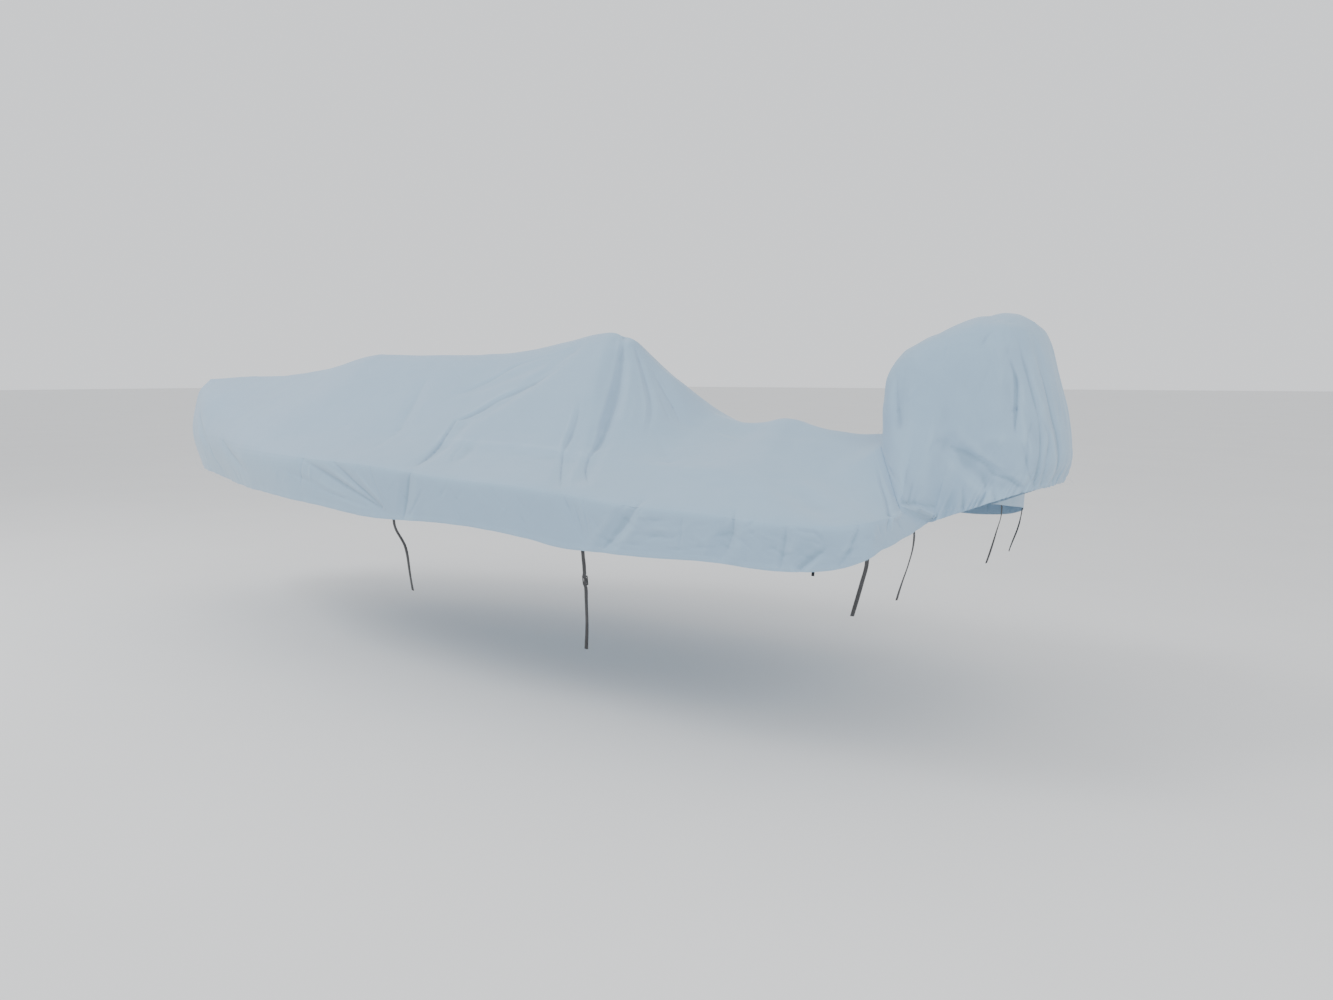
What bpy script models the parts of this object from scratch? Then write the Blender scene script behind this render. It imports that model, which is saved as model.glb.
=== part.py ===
"""A fitted cover with a sewn-on hood and its tie-down straps, in the shape in which it lies in use.

Frame: X runs aft, Y to starboard, Z up, in metres. The origin is where the cover's peak rests on its
support, on the underside of the cloth. The tables give a place as metres aft of that peak, metres out from
the centreline and metres up from the ground. A girth counts round a rib from the spine, and it is negative
to port.
"""

import bmesh
import bpy
import numpy as np
from mathutils import Matrix, Vector
from mathutils.bvhtree import BVHTree

# Driving sizes
CLOTH = 0.0025  # coated polyester, with its seams and hem
PEAK_UP = 1.8365  # the cloth's underside at the peak, above the ground
SEAM_GAP = 0.0005  # between the body panel and the hood that is sewn to it

BODY_INSIDE = (1.0, 0.0, 0.9)  # a place well inside the body panel
HOOD_INSIDE = (2.1, 0.0, 1.4)  # and one inside the hood

WEBBING_WIDTH = 0.020
WEBBING_THICK = 0.0016
WEBBING_LAP = 0.022  # sewn to the inside of the hem
WEBBING_GAP = 0.0004

BUCKLE_LONG = 0.044
BUCKLE_WIDE = 0.030
BUCKLE_THICK = 0.0045
BUCKLE_RAIL = 0.0042  # width of its two side rails
BUCKLE_BAR = 0.0060  # width of its end bars and middle bar


def table(columns, rows):
    """Rows of numbers as named columns."""
    return dict(zip(columns.split(), np.array(rows, float).T))


# The body panel as ribs, from the front tip round the port side to the seam of the hood.
# A rib runs from the spine (girth 0) by the shoulder (1) and the gunwale (2) to the hem (3). The cells are
# the columns of the grid between it and the rib before.
BODY_RIBS = table(
    "spine_aft spine_up shoulder_aft shoulder_out shoulder_up gunwale_aft gunwale_out gunwale_up"
    " hem_aft hem_out hem_up cells",
    [
        (-3.78, 1.573, -3.86, 0.00, 1.500, -3.93, 0.00, 1.190, -3.84, 0.00, 0.955, 0),
        (-3.77, 1.573, -3.81, 0.08, 1.500, -3.89, 0.10, 1.190, -3.78, 0.09, 0.955, 2),
        (-3.65, 1.579, -3.64, 0.18, 1.495, -3.71, 0.215, 1.190, -3.61, 0.20, 0.948, 3),
        (-3.33, 1.595, -3.34, 0.33, 1.460, -3.39, 0.39, 1.190, -3.29, 0.36, 0.942, 4),
        (-2.89, 1.605, -2.87, 0.47, 1.400, -2.90, 0.60, 1.185, -2.82, 0.53, 0.925, 5),
        (-2.44, 1.645, -2.40, 0.62, 1.355, -2.42, 0.80, 1.180, -2.37, 0.74, 0.925, 5),
        (-1.88, 1.742, -1.83, 0.74, 1.320, -1.86, 0.98, 1.175, -1.85, 0.93, 0.925, 5),
        (-1.33, 1.730, -1.26, 0.76, 1.287, -1.28, 1.09, 1.165, -1.28, 1.06, 0.910, 5),
        (-0.84, 1.730, -0.70, 0.78, 1.265, -0.70, 1.14, 1.152, -0.70, 1.11, 0.880, 5),
        (-0.33, 1.800, -0.22, 0.78, 1.247, -0.18, 1.155, 1.122, -0.18, 1.125, 0.893, 6),
        (0.00, 1.839, 0.20, 0.78, 1.229, 0.26, 1.155, 1.108, 0.26, 1.130, 0.872, 6),
        (0.33, 1.630, 0.50, 0.78, 1.206, 0.62, 1.155, 1.085, 0.62, 1.130, 0.836, 5),
        (0.66, 1.403, 0.85, 0.79, 1.191, 0.98, 1.155, 1.058, 0.98, 1.130, 0.838, 4),
        (0.89, 1.347, 1.12, 0.80, 1.193, 1.32, 1.150, 1.050, 1.32, 1.125, 0.848, 4),
        (1.06, 1.380, 1.32, 0.80, 1.176, 1.64, 1.135, 1.030, 1.64, 1.110, 0.840, 4),
        (1.19, 1.354, 1.46, 0.76, 1.160, 1.88, 1.080, 1.030, 1.87, 1.050, 0.862, 3),
        (1.33, 1.333, 1.57, 0.63, 1.165, 1.985, 0.96, 1.045, 1.975, 0.94, 0.912, 2),
        (1.48, 1.324, 1.64, 0.47, 1.215, 1.990, 0.81, 1.048, 1.983, 0.71, 0.944, 2),
        (1.62, 1.334, 1.71, 0.31, 1.300, 1.955, 0.66, 1.055, 1.982, 0.41, 0.984, 3),
    ],
)
# How far each place of a rib is rounded off, as a share of the run to the next place. The bow is rounder,
# and its reaches give way to the others by the end of the bow's bends.
BOW_BENDS_END = 3.2
BODY_BENDS = table(
    "girth reach bow_reach",
    [
        (0.0, 0.20, 0.20),
        (0.5, 0.40, 0.50),
        (1.0, 0.20, 0.40),
        (1.6, 0.30, 0.40),
        (2.0, 0.15, 0.50),
        (2.5, 0.40, 0.50),
        (3.0, 0.00, 0.00),
    ],
)
BODY_ROWS = table("girth cells", [(0.0, 0), (1.0, 9), (1.85, 4), (2.15, 2), (3.0, 4)])

# The hood as ribs, round its port side from the front to the back. A rib runs from the top (girth 0)
# by the crown (1) and the waist (2) to the lower edge (3). Up to around 3 that edge is the seam to the
# body panel, at the girth of that panel which around counts. From there on it is a free hem.
HOOD_RIBS = table(
    "around top_aft top_up crown_aft crown_out crown_up waist_aft waist_out waist_up",
    [
        (0.0, 1.99, 1.815, 1.715, 0.00, 1.715, 1.662, 0.00, 1.510),
        (0.5, 2.00, 1.825, 1.740, 0.17, 1.720, 1.678, 0.20, 1.510),
        (1.0, 2.04, 1.845, 1.820, 0.27, 1.740, 1.738, 0.31, 1.500),
        (2.0, 2.10, 1.868, 1.970, 0.30, 1.785, 1.890, 0.36, 1.400),
        (3.0, 2.15, 1.878, 2.090, 0.30, 1.815, 2.070, 0.35, 1.360),
        (4.0, 2.20, 1.874, 2.205, 0.28, 1.810, 2.260, 0.32, 1.330),
        (5.0, 2.25, 1.852, 2.290, 0.20, 1.790, 2.395, 0.26, 1.290),
        (5.5, 2.27, 1.840, 2.318, 0.10, 1.780, 2.445, 0.14, 1.270),
        (6.0, 2.28, 1.835, 2.325, 0.00, 1.775, 2.460, 0.00, 1.270),
    ],
)
HOOD_HEM = table(
    "around aft out up",
    [(4.0, 2.13, 0.375, 1.040), (5.0, 2.31, 0.315, 1.110), (5.5, 2.375, 0.17, 1.130), (6.0, 2.395, 0.0, 1.133)],
)
HOOD_BENDS = table(
    "girth reach", [(0.0, 0.35), (0.5, 0.45), (1.0, 0.45), (2.0, 0.60), (2.5, 0.45), (3.0, 0.0)]
)
HOOD_SEAM_END = 3.0
HOOD_BACK = table("around cells", [(3.0, 0), (4.0, 3), (5.0, 4), (6.0, 5)])
HOOD_ROWS = table("girth cells", [(0.0, 0), (1.0, 4), (2.0, 4), (3.0, 5)])

# Main folds: a straight line on the sheet from one place to another, its half width, and its height.
# A fold with a height below zero is a hollow.
FOLD_COLUMNS = "along girth to_along to_girth half_width height"
BODY_FOLDS = table(
    FOLD_COLUMNS,
    [
        # port side, from the bow
        (0.62, -1.50, 1.05, -2.30, 0.07, -0.010),
        (1.45, -1.95, 1.95, -2.55, 0.07, -0.008),
        (2.85, -2.05, 3.53, -2.80, 0.07, -0.008),
        (3.17, -2.05, 3.56, -2.80, 0.06, -0.006),
        (3.79, -2.05, 3.71, -2.92, 0.07, -0.010),
        (3.03, -0.35, 3.25, -0.95, 0.09, -0.008),
        (3.69, -0.78, 3.76, -1.75, 0.08, -0.014),
        (3.90, -1.00, 3.96, -1.55, 0.07, -0.007),
        (3.72, -0.80, 4.20, -0.15, 0.09, -0.012),
        (3.45, -0.50, 4.15, -0.17, 0.09, -0.008),
        (4.52, -0.02, 4.74, -0.85, 0.10, -0.024),
        (4.74, -0.80, 4.82, -1.60, 0.07, -0.013),
        (4.53, -0.60, 4.72, -1.80, 0.07, -0.010),
        (4.80, -0.08, 5.08, -0.36, 0.08, -0.008),
        (4.78, -1.95, 4.91, -2.95, 0.07, -0.008),
        (5.17, -1.88, 4.98, -2.88, 0.07, -0.014),
        (5.65, -1.92, 5.57, -2.80, 0.07, -0.012),
        (5.86, -2.05, 5.84, -2.92, 0.07, -0.009),
        (6.00, -2.45, 5.90, -2.95, 0.07, -0.010),
        (6.08, -1.00, 6.12, -1.80, 0.12, -0.014),
        # starboard side, from the bow
        (1.10, 1.60, 1.50, 2.40, 0.07, -0.009),
        (2.40, 2.05, 3.10, 2.75, 0.07, -0.008),
        (3.30, 0.55, 4.10, 0.15, 0.09, -0.009),
        (3.85, 0.65, 3.80, 1.70, 0.08, -0.012),
        (4.05, 2.02, 3.95, 2.90, 0.07, -0.010),
        (4.55, 0.05, 4.68, 1.10, 0.10, -0.020),
        (4.70, 1.90, 4.80, 2.90, 0.07, -0.009),
        (5.25, 1.90, 5.05, 2.88, 0.07, -0.013),
        (5.72, 1.95, 5.70, 2.85, 0.07, -0.010),
        (6.08, 1.00, 6.12, 1.80, 0.12, -0.014),
    ],
)
HOOD_FOLDS = table(
    FOLD_COLUMNS.replace("along", "around"),
    [
        # port side, from the front
        (-1.30, 1.70, -1.62, 2.30, 0.06, -0.008),
        (-2.70, 1.70, -2.82, 2.40, 0.06, -0.008),
        (-3.00, 2.12, -5.00, 2.86, 0.07, -0.018),
        (-4.45, 1.20, -4.38, 1.95, 0.06, -0.012),
        (-4.77, 0.95, -5.33, 2.80, 0.06, -0.010),
        (-5.37, 0.95, -5.85, 2.80, 0.05, -0.007),
        # starboard side, from the front
        (1.40, 1.60, 1.70, 2.40, 0.06, -0.008),
        (2.60, 1.75, 2.85, 2.50, 0.06, -0.009),
        (3.20, 2.20, 4.90, 2.85, 0.07, -0.014),
        (4.60, 1.05, 4.85, 2.30, 0.06, -0.010),
        (5.40, 0.95, 5.60, 2.70, 0.05, -0.008),
    ],
)

# Tie-down straps, the same on both sides. From its place on the hem a strap passes a middle point to its
# free end, and both are given as metres aft, inboard and down from the hem. Down to its buckle is zero
# where a strap has none.
STRAP_NAMES = ("bow", "mid", "stern", "transom")
STRAPS = table(
    "along mid_aft mid_in mid_down end_aft end_in end_down buckle_down",
    [
        (3.62, 0.01, 0.06, 0.15, -0.02, 0.13, 0.39, 0.0),
        (4.88, 0.01, 0.01, 0.20, 0.00, 0.02, 0.45, 0.135),
        (6.19, -0.02, 0.00, 0.10, -0.06, 0.00, 0.23, 0.0),
        (6.46, -0.02, 0.00, 0.14, -0.07, 0.00, 0.30, 0.0),
    ],
)
# The way of the webbing through the buckle: down from its middle, and out from its plane.
BUCKLE_WAY = table(
    "down out",
    [
        (-0.031, 0.0),
        (-0.024, 0.0037),
        (-0.015, 0.0037),
        (-0.004, -0.0037),
        (0.004, -0.0037),
        (0.015, 0.0037),
        (0.024, 0.0037),
        (0.031, 0.0),
    ],
)


def monotone(x, y, at):
    """Cubic through the points (x, y) that never swings past them."""
    x, y, at = (np.asarray(a, float) for a in (x, y, at))
    step = np.diff(x)
    rise = np.diff(y) / step
    before, after = rise[:-1], rise[1:]
    wide_before, wide_after = 2 * step[1:] + step[:-1], step[1:] + 2 * step[:-1]
    steady = before * after > 0
    safe = np.where(steady, before * after, 1.0)
    mean = (wide_before + wide_after) * safe
    mean /= np.where(steady, wide_before * after + wide_after * before, 1.0)
    slope = np.concatenate([rise[:1], np.where(steady, mean, 0.0), rise[-1:]])
    i = np.clip(np.searchsorted(x, at) - 1, 0, len(x) - 2)
    t = (at - x[i]) / step[i]
    level = y[i] + (y[i + 1] - y[i]) * t * t * (3 - 2 * t)
    return level + step[i] * (t * (1 - t) ** 2 * slope[i] - t * t * (1 - t) * slope[i + 1])


def spaced(ends, cells):
    """Places of a grid with that many cells between each end and the one before."""
    runs = [np.linspace(a, b, int(n) + 1)[1:] for a, b, n in zip(ends, ends[1:], cells[1:])]
    return np.concatenate([ends[:1], *runs])


def both_sides(places):
    """The places of one side, and their mirror image before them."""
    return np.concatenate([-places[:0:-1], places])


def gunwale_distance():
    """Distance of each rib from the front tip, along the gunwale."""
    steps = np.hypot(np.diff(BODY_RIBS["gunwale_aft"]), np.diff(BODY_RIBS["gunwale_out"]))
    return np.concatenate([[0.0], np.cumsum(steps)])


RIB_ALONG = gunwale_distance()
SEAM_ALONG = RIB_ALONG[-1]


def body_rib(column, along):
    """A column of the body's ribs, at a distance along the gunwale. Beyond the tip the ribs mirror it."""
    values = BODY_RIBS[column]
    mirror = -1.0 if column.endswith("out") else 1.0
    return monotone(np.append(-RIB_ALONG[1], RIB_ALONG), np.append(mirror * values[1], values), along)


def body_corners(along):
    """Spine, shoulder, gunwale and hem of the ribs there, on the side that counts out as positive."""
    spine = [body_rib("spine_aft", along), 0 * along, body_rib("spine_up", along)]
    rest = [
        [body_rib(f"{place}_{way}", along) for way in ("aft", "out", "up")]
        for place in ("shoulder", "gunwale", "hem")
    ]
    return np.stack([np.stack(place, -1) for place in (spine, *rest)])


def on_runs(corners, girth):
    """A place on the straight runs from corner to corner, mirrored beyond the spine."""
    g = np.clip(np.abs(girth), 0, len(corners) - 1)
    i = np.minimum(g.astype(int), len(corners) - 2)
    columns = np.indices(i.shape)
    low, high = corners[(i, *columns)], corners[(i + 1, *columns)]
    point = low + (high - low) * (g - i)[..., None]
    point[..., 1] *= np.where(girth < 0, -1, 1)
    return point


def rounded(corners, girth, reach, ridge_reach):
    """The straight runs rounded off by a mean over the reach round each place, but for the ridge itself."""
    spread = np.linspace(-1, 1, 9)
    weights = 1.2 - np.abs(spread)

    def mean(at, over):
        points = [w * on_runs(corners, at + s * over) for s, w in zip(spread, weights)]
        return sum(points) / weights.sum()

    lift = corners[0] - mean(0 * girth, 0 * girth + ridge_reach)
    return mean(girth, reach) + lift * np.clip(1 - np.abs(girth), 0, 1)[..., None] ** 2


def on_side(point, girth):
    """A point of the port or the starboard side, by the sign of its girth."""
    point[..., 1] *= np.where(girth < 0, -1, 1)
    return point


def body_surface(along, girth):
    """The smooth body panel."""
    along, girth = np.broadcast_arrays(np.asarray(along, float), np.asarray(girth, float))
    down = np.abs(girth)
    tight, soft = (np.interp(down, BODY_BENDS["girth"], BODY_BENDS[part]) for part in ("reach", "bow_reach"))
    reach = tight + (soft - tight) * np.clip((BOW_BENDS_END - along) / 1.2, 0, 1)
    return on_side(rounded(body_corners(along), down, reach, BODY_BENDS["reach"][0]), girth)


def body_places():
    """Places of the body panel's grid, from the tip to the seam and from the port to the starboard hem."""
    return spaced(RIB_ALONG, BODY_RIBS["cells"]), both_sides(spaced(BODY_ROWS["girth"], BODY_ROWS["cells"]))


def outward(points, inside):
    """Unit normals of a grid of points, on the side away from the place inside."""
    across = np.cross(np.gradient(points, axis=0), np.gradient(points, axis=1))
    across /= np.maximum(np.linalg.norm(across, axis=-1, keepdims=True), 1e-9)
    return across * np.sign(np.sum(across * (points - inside), -1, keepdims=True).mean())


def seam_edge(girth):
    """The hood's edge along the body panel's, on the side that counts out as positive."""
    along, _ = body_places()
    before, last = body_surface(along[[-2, -1], None], girth[None])
    step = last - before
    return last + step * SEAM_GAP / np.linalg.norm(step, axis=-1, keepdims=True)


def hood_corners(around):
    """Top, crown, waist and lower edge of the hood's ribs there, on the side that counts out as positive."""
    ribs = {name: monotone(HOOD_RIBS["around"], values, around) for name, values in HOOD_RIBS.items()}
    top = [ribs["top_aft"], 0 * around, ribs["top_up"]]
    rest = [[ribs[f"{place}_{way}"] for way in ("aft", "out", "up")] for place in ("crown", "waist")]
    seam = np.linspace(0, HOOD_SEAM_END, 61)
    hem = np.stack([HOOD_HEM[way] for way in ("aft", "out", "up")], -1)
    edge, places = np.concatenate([seam_edge(seam), hem]), np.append(seam, HOOD_HEM["around"])
    lower = [monotone(places, way, around) for way in edge.T]
    return np.stack([np.stack(place, -1) for place in (top, *rest, lower)])


def hood_surface(around, girth):
    """The smooth hood. Around is negative to port, and girth counts down from the top."""
    around, girth = np.broadcast_arrays(np.asarray(around, float), np.asarray(girth, float))
    reach = np.interp(girth, HOOD_BENDS["girth"], HOOD_BENDS["reach"])
    return on_side(rounded(hood_corners(np.abs(around)), girth, reach, HOOD_BENDS["reach"][0]), around)


def folded(points, out, surface, folds, edge):
    """The points of a sheet moved out and in by its folds, which die away at the sewn edge."""
    start_u, start_v, end_u, end_v, half_widths, heights = folds.values()
    shift = np.zeros(points.shape[:2])
    share = np.linspace(0, 1, 15)
    for k, (half_width, height) in enumerate(zip(half_widths, heights)):
        line = surface(
            start_u[k] + (end_u[k] - start_u[k]) * share, start_v[k] + (end_v[k] - start_v[k]) * share
        )
        away = np.linalg.norm(points[..., None, :] - line, axis=-1)
        nearest = away.argmin(-1)
        taper = np.sqrt(np.clip(np.sin(np.pi * (0.06 + 0.88 * share[nearest])), 0, 1))
        reach = np.clip(away.min(-1) / half_width, 0, 1)
        shift += height * taper * np.cos(0.5 * np.pi * reach) ** 2
    return points + out * (shift * edge)[..., None]


def body_points():
    along, girth = body_places()
    points = body_surface(along[:, None], girth[None])
    out = outward(points, BODY_INSIDE)
    edge = np.clip((SEAM_ALONG - along) / 0.25, 0, 1)[:, None]
    return folded(points, out, body_surface, BODY_FOLDS, edge)


def hood_points():
    front = spaced(BODY_ROWS["girth"], BODY_ROWS["cells"])
    back = spaced(HOOD_BACK["around"], HOOD_BACK["cells"])
    around, girth = both_sides(np.append(front, back[1:])), spaced(HOOD_ROWS["girth"], HOOD_ROWS["cells"])
    points = hood_surface(around[:, None], girth[None])
    out = outward(points, HOOD_INSIDE)
    edge = np.clip((3 - girth) / 0.8, 0, 1)[None] + 0.6 * (np.abs(around) > 3.4)[:, None]
    return folded(points, out, hood_surface, HOOD_FOLDS, np.minimum(edge, 1))


def material(name, colour, roughness, metallic=0.0):
    made = bpy.data.materials.new(name)
    made.use_nodes = True
    shader = made.node_tree.nodes["Principled BSDF"]
    shader.inputs["Base Color"].default_value = (*colour, 1)
    shader.inputs["Roughness"].default_value = roughness
    shader.inputs["Metallic"].default_value = metallic
    return made


def add_object(name, mesh, look, parent, collection):
    made = bpy.data.objects.new(name, mesh)
    mesh.materials.append(look)
    mesh.shade_smooth()
    mesh.set_sharp_from_angle(angle=0.9)
    made.parent = parent
    collection.objects.link(made)
    return made


def sheet(name, points, inside, thickness, look, parent, collection):
    """A cloth with its outer side on a grid of points. Points that fall together are welded."""
    bm = bmesh.new()
    columns, rows = points.shape[0] - 1, points.shape[1] - 1
    bmesh.ops.create_grid(bm, x_segments=columns, y_segments=rows, size=1)
    for vert in bm.verts:
        i, j = round((vert.co.x + 1) / 2 * columns), round((vert.co.y + 1) / 2 * rows)
        vert.co = points[i, j]
    bmesh.ops.remove_doubles(bm, verts=bm.verts, dist=1e-6)
    bmesh.ops.dissolve_degenerate(bm, edges=bm.edges, dist=1e-6)
    bm.normal_update()
    middle = Vector(inside)
    facing = sum((face.calc_center_median() - middle).dot(face.normal) for face in bm.faces)
    if facing < 0:
        bmesh.ops.reverse_faces(bm, faces=bm.faces)
    mesh = bpy.data.meshes.new(name)
    bm.to_mesh(mesh)
    bm.free()
    made = add_object(name, mesh, look, parent, collection)
    solidify = made.modifiers.new("thickness", "SOLIDIFY")
    solidify.thickness = thickness
    solidify.offset = -1
    return made


def strap_frame(body, inner_side, along, side):
    """Where a strap leaves the hem: its point on the cloth's inner side, and the ways down, along and out."""
    places, _ = body_places()
    column = np.searchsorted(places, along) - 1
    rows = (0, 1) if side < 0 else (-1, -2)
    hem, above = body[column : column + 2, rows[0]], body[column : column + 2, rows[1]]
    out = np.cross(hem.mean(0) - above.mean(0), hem[1] - hem[0])
    out *= np.sign(out.dot(hem.mean(0) - BODY_INSIDE)) / np.linalg.norm(out)
    down = out * out[2] - (0, 0, 1)
    down /= np.linalg.norm(down)
    width = np.cross(out, down)
    start = hem.mean(0) - out * 0.05
    rays = [
        start + width * WEBBING_WIDTH * across - down * WEBBING_LAP * up
        for across in (-0.5, -0.25, 0, 0.25, 0.5)
        for up in (0.1, 0.4, 0.7, 1)
    ]
    reach = min(filter(None, (inner_side.ray_cast(ray, out)[3] for ray in rays)))
    return start + out * (reach - WEBBING_GAP), down, width, out


def strap_path(strap, frame, side):
    """Middle line of a strap's outer side, from the top of its lap to its free end."""
    hem, down, _, out = frame
    way = np.array([1, -side, -1])
    middle = hem + way * (strap["mid_aft"], strap["mid_in"], strap["mid_down"])
    end = hem + way * (strap["end_aft"], strap["end_in"], strap["end_down"])
    lap, neck = hem - down * WEBBING_LAP, hem + down * 0.02
    corners = np.stack([lap, hem, neck, middle, end])
    at = np.concatenate([[0], np.cumsum(np.linalg.norm(np.diff(corners, axis=0), axis=1))])
    places = np.concatenate([[0, WEBBING_LAP], np.linspace(WEBBING_LAP + 0.02, at[-1], 14)])
    if strap["buckle_down"]:
        centre = WEBBING_LAP + strap["buckle_down"]
        clear = np.abs(places - centre) > 0.04
        places = np.sort(np.concatenate([places[clear], centre + BUCKLE_WAY["down"]]))
        shift = np.interp(places - centre, BUCKLE_WAY["down"], BUCKLE_WAY["out"])
    else:
        centre, shift = 0, 0 * places
    line = np.stack([monotone(at, axis, places) for axis in corners.T], -1)
    middle = np.stack([monotone(at, axis, [centre - 0.02, centre + 0.02]) for axis in corners.T], -1)
    down = (middle[1] - middle[0]) / np.linalg.norm(middle[1] - middle[0])
    return line + shift[:, None] * out, middle.mean(0) - out * WEBBING_THICK / 2, down


def rounded_rectangle(wide, long, corner, steps):
    """Points round a rectangle with round corners."""
    turns = np.radians([90 * quarter + 90 * k / steps for quarter in range(4) for k in range(steps + 1)])
    centres = [(x, y) for x, y in ((1, 1), (-1, 1), (-1, -1), (1, -1)) for _ in range(steps + 1)]
    middle = np.array(centres) * (wide / 2 - corner, long / 2 - corner)
    return middle + corner * np.stack([np.cos(turns), np.sin(turns)], -1)


def buckle_mesh():
    """A slide buckle as a flat outline with two windows, raised to its thickness."""
    window = (BUCKLE_LONG - 3 * BUCKLE_BAR) / 2
    inner = BUCKLE_WIDE - 2 * BUCKLE_RAIL
    outlines = [(rounded_rectangle(BUCKLE_WIDE, BUCKLE_LONG, 0.005, 4), 0)]
    outlines += [
        (rounded_rectangle(inner, window, 0.0015, 2), side * (window + BUCKLE_BAR) / 2) for side in (-1, 1)
    ]
    outline = bpy.data.curves.new("buckle outline", "CURVE")
    outline.dimensions = "2D"
    outline.fill_mode = "BOTH"
    outline.extrude = BUCKLE_THICK / 2
    for points, shift in outlines:
        spline = outline.splines.new("POLY")
        spline.points.add(len(points) - 1)
        for point, (x, y) in zip(spline.points, points):
            point.co = (x, y + shift, 0, 1)
        spline.use_cyclic_u = True
    guide = bpy.data.objects.new("buckle outline", outline)
    bpy.context.scene.collection.objects.link(guide)
    mesh = bpy.data.meshes.new_from_object(guide.evaluated_get(bpy.context.evaluated_depsgraph_get()))
    bpy.data.objects.remove(guide)
    bm = bmesh.new()
    bm.from_mesh(mesh)
    bmesh.ops.remove_doubles(bm, verts=bm.verts, dist=1e-6)
    bmesh.ops.recalc_face_normals(bm, faces=bm.faces)
    bm.to_mesh(mesh)
    bm.free()
    return mesh


def add_straps(body, cloth, webbing, plastic, parent, collection):
    inner_side = BVHTree.FromObject(cloth, bpy.context.evaluated_depsgraph_get())
    for number, name in enumerate(STRAP_NAMES):
        strap = {column: values[number] for column, values in STRAPS.items()}
        for side, side_name in ((-1, "port"), (1, "starboard")):
            frame = strap_frame(body, inner_side, strap["along"], side)
            hem, _, width, out = frame
            line, centre, down = strap_path(strap, frame, side)
            width -= down * width.dot(down)
            width /= np.linalg.norm(width)
            edges = np.stack([line - width * WEBBING_WIDTH / 2, line + width * WEBBING_WIDTH / 2], 1)
            sheet(f"strap_{name}_{side_name}", edges, hem - out, WEBBING_THICK, webbing, parent, collection)
            if strap["buckle_down"]:
                buckle = add_object(f"buckle_{name}_{side_name}", buckle_mesh(), plastic, parent, collection)
                turn = Matrix((width, -down, np.cross(down, width))).transposed()
                buckle.matrix_basis = Matrix.Translation(centre) @ turn.to_4x4()


def main():
    for old in list(bpy.data.objects):
        bpy.data.objects.remove(old)
    collection = bpy.data.collections.new("boat_cover")
    bpy.context.scene.collection.children.link(collection)
    ground = bpy.data.objects.new("ground", None)
    ground.location.z = -PEAK_UP
    collection.objects.link(ground)

    cloth = material("coated polyester", (0.41, 0.49, 0.56), 0.75)
    webbing = material("webbing", (0.045, 0.045, 0.048), 0.85)
    plastic = material("buckle plastic", (0.02, 0.02, 0.022), 0.45)

    body = body_points()
    panel = sheet("cover_body", body, BODY_INSIDE, CLOTH, cloth, ground, collection)
    sheet("motor_hood", hood_points(), HOOD_INSIDE, CLOTH, cloth, ground, collection)
    add_straps(body, panel, webbing, plastic, ground, collection)


if __name__ == "__main__":
    main()
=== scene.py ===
# %% [markdown]
# # Dressing a large fitted cover
#
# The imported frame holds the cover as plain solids: a body panel, a hood that is sewn to its back edge, eight
# tie-down straps and two slide buckles. This notebook gives each of them the finish of the real thing. The
# cloth comes first, because everything else is sewn to it. The stitches, the webbing and the buckles follow,
# then the finishes, and at last the floor and the light.
#
# All lengths are metres. X runs aft, Y to starboard and Z up, and the origin is under the cover's peak.

import math

import bpy
import numpy as np
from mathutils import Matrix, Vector
from mathutils.bvhtree import BVHTree


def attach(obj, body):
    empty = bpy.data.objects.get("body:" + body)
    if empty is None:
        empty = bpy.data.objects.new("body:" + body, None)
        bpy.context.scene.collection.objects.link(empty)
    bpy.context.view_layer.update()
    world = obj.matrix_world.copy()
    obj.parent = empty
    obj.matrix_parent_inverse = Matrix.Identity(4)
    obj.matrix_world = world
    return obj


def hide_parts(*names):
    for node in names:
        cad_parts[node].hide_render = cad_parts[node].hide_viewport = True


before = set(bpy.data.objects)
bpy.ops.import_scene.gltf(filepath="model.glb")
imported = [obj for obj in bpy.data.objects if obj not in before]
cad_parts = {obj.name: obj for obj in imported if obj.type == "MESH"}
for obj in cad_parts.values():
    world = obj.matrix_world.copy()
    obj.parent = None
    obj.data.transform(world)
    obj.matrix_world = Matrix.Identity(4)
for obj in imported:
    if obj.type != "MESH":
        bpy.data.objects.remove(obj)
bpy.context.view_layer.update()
PEAK_UP = 1.8365  # height of the cover's peak above the ground
print("The frame holds", ", ".join(sorted(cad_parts)))

# %% [markdown]
# ## The camera
#
# The photograph was taken from eye height, off the port quarter, and looks down a little on the skirt. The
# camera is placed by its height above the ground, because that is how one would place it in a yard. Its lens
# is given for a frame 36 mm wide, which is Blender's own sensor width.

# %% Camera
CAMERA_AFT = 3.734
CAMERA_OUT = -4.910
CAMERA_UP = 1.610  # above the ground
CAMERA_TURN = 34.655  # degrees to port from straight across
CAMERA_DIP = 6.44  # degrees below level
CAMERA_LENS = 30.0  # millimetres
CAMERA_FRAME = 36.0  # millimetres wide

camera = bpy.data.objects.new("camera", bpy.data.cameras.new("camera"))
bpy.context.scene.collection.objects.link(camera)
camera.location = (CAMERA_AFT, CAMERA_OUT, CAMERA_UP - PEAK_UP)
camera.rotation_euler = (math.radians(90 - CAMERA_DIP), 0, math.radians(CAMERA_TURN))
camera.data.lens = CAMERA_LENS
camera.data.sensor_width = CAMERA_FRAME
bpy.context.scene.camera = camera
print("Camera", [round(x, 3) for x in camera.location])

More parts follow.
